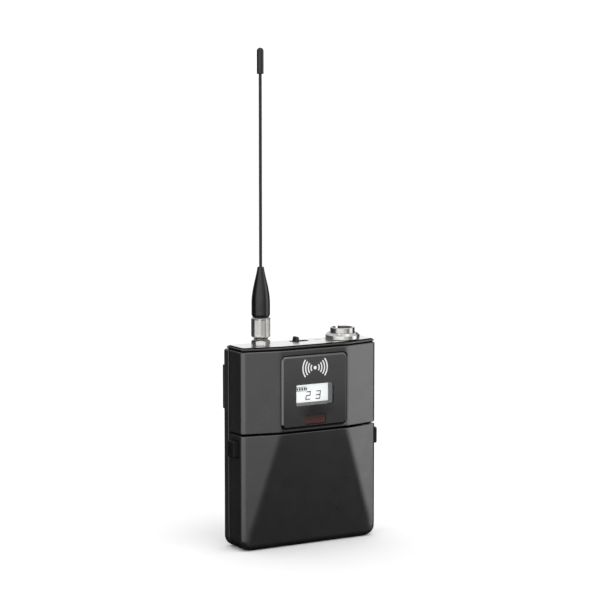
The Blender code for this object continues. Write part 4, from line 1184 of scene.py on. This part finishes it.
CARD_RADIUS = 2.0
CARD_HALF_HEIGHT = Vector((0, 0, 1.2))
CARDS = {
    # curved upright cards: (start heading, end heading, radiance)
    "dark_left": (-174, -92, 0.04),
    "left_card": (-90, -18, 2.0),
    "front_card": (-18, 13, 1.2),
    "grey_front": (13, 42, 0.42),
    "right_card": (42, 77, 2.35),
    "dark_right": (77, 136, 0.05),
}


def make_light():
    world = bpy.data.worlds.new("studio")
    SCENE.world = world
    world.use_nodes = True
    sky = world.node_tree.nodes["Background"]
    sky.inputs["Color"].default_value = (1, 1, 1, 1)
    sky.inputs["Strength"].default_value = 1.12
    for name, (start, end, radiance) in CARDS.items():
        count = max(2, round((end - start) / 4))
        posts = [toward(start + (end - start) * k / count) * CARD_RADIUS for k in range(count + 1)]
        quads = []
        for one, other in zip(posts, posts[1:]):
            quads.append([one - CARD_HALF_HEIGHT, other - CARD_HALF_HEIGHT, other + CARD_HALF_HEIGHT,
                          one + CARD_HALF_HEIGHT])
        reflector(name, quads, radiance)
    reach, depth = 2.2, -0.5
    signs = ((-1, -1), (1, -1), (1, 1), (-1, 1))
    reflector("dark_ground", [[(u * reach, v * reach, depth) for u, v in signs]], 0.002)

    light = bpy.data.lights.new("top_box", "AREA")
    light.shape = "RECTANGLE"
    light.size, light.size_y = 0.9, 0.7
    light.energy = 1.5 * math.pi * light.size * light.size_y
    lamp = bpy.data.objects.new("top_box", light)
    back = toward(20, 62)
    lamp.location = Vector((0, 0, 0.06)) + back * 1.4
    lamp.rotation_euler = back.to_track_quat("Z", "Y").to_euler()
    lamp.visible_camera = False
    SCENE.collection.objects.link(lamp)
    SCENE.view_settings.view_transform = "Standard"


def make_camera():
    heading, pitch, distance = 30.21, 6.84, 0.9
    aim = Vector((-4.85, -5.6, 104.6)) * MM
    camera = bpy.data.cameras.new("camera")
    camera.lens = 129.08
    camera.sensor_width = 36.0
    camera.clip_start = 0.01
    camera.clip_end = 100
    holder = bpy.data.objects.new("camera", camera)
    holder.rotation_euler = (math.radians(90 - pitch), 0, -math.radians(heading))
    holder.location = aim + holder.rotation_euler.to_matrix() @ Vector((0, 0, distance))
    SCENE.collection.objects.link(holder)
    SCENE.camera = holder


make_cover()
make_housing()
make_cap_and_deck()
make_bezel()
make_display()
make_digits()
make_mark()
make_door()
make_latches()
make_jack()
make_coupling_nut()
make_whip()
make_input()
make_power_switch()
make_cells()
make_keys()
make_clip()
make_screws()
refinish_inside()
make_floor()
make_light()
make_camera()
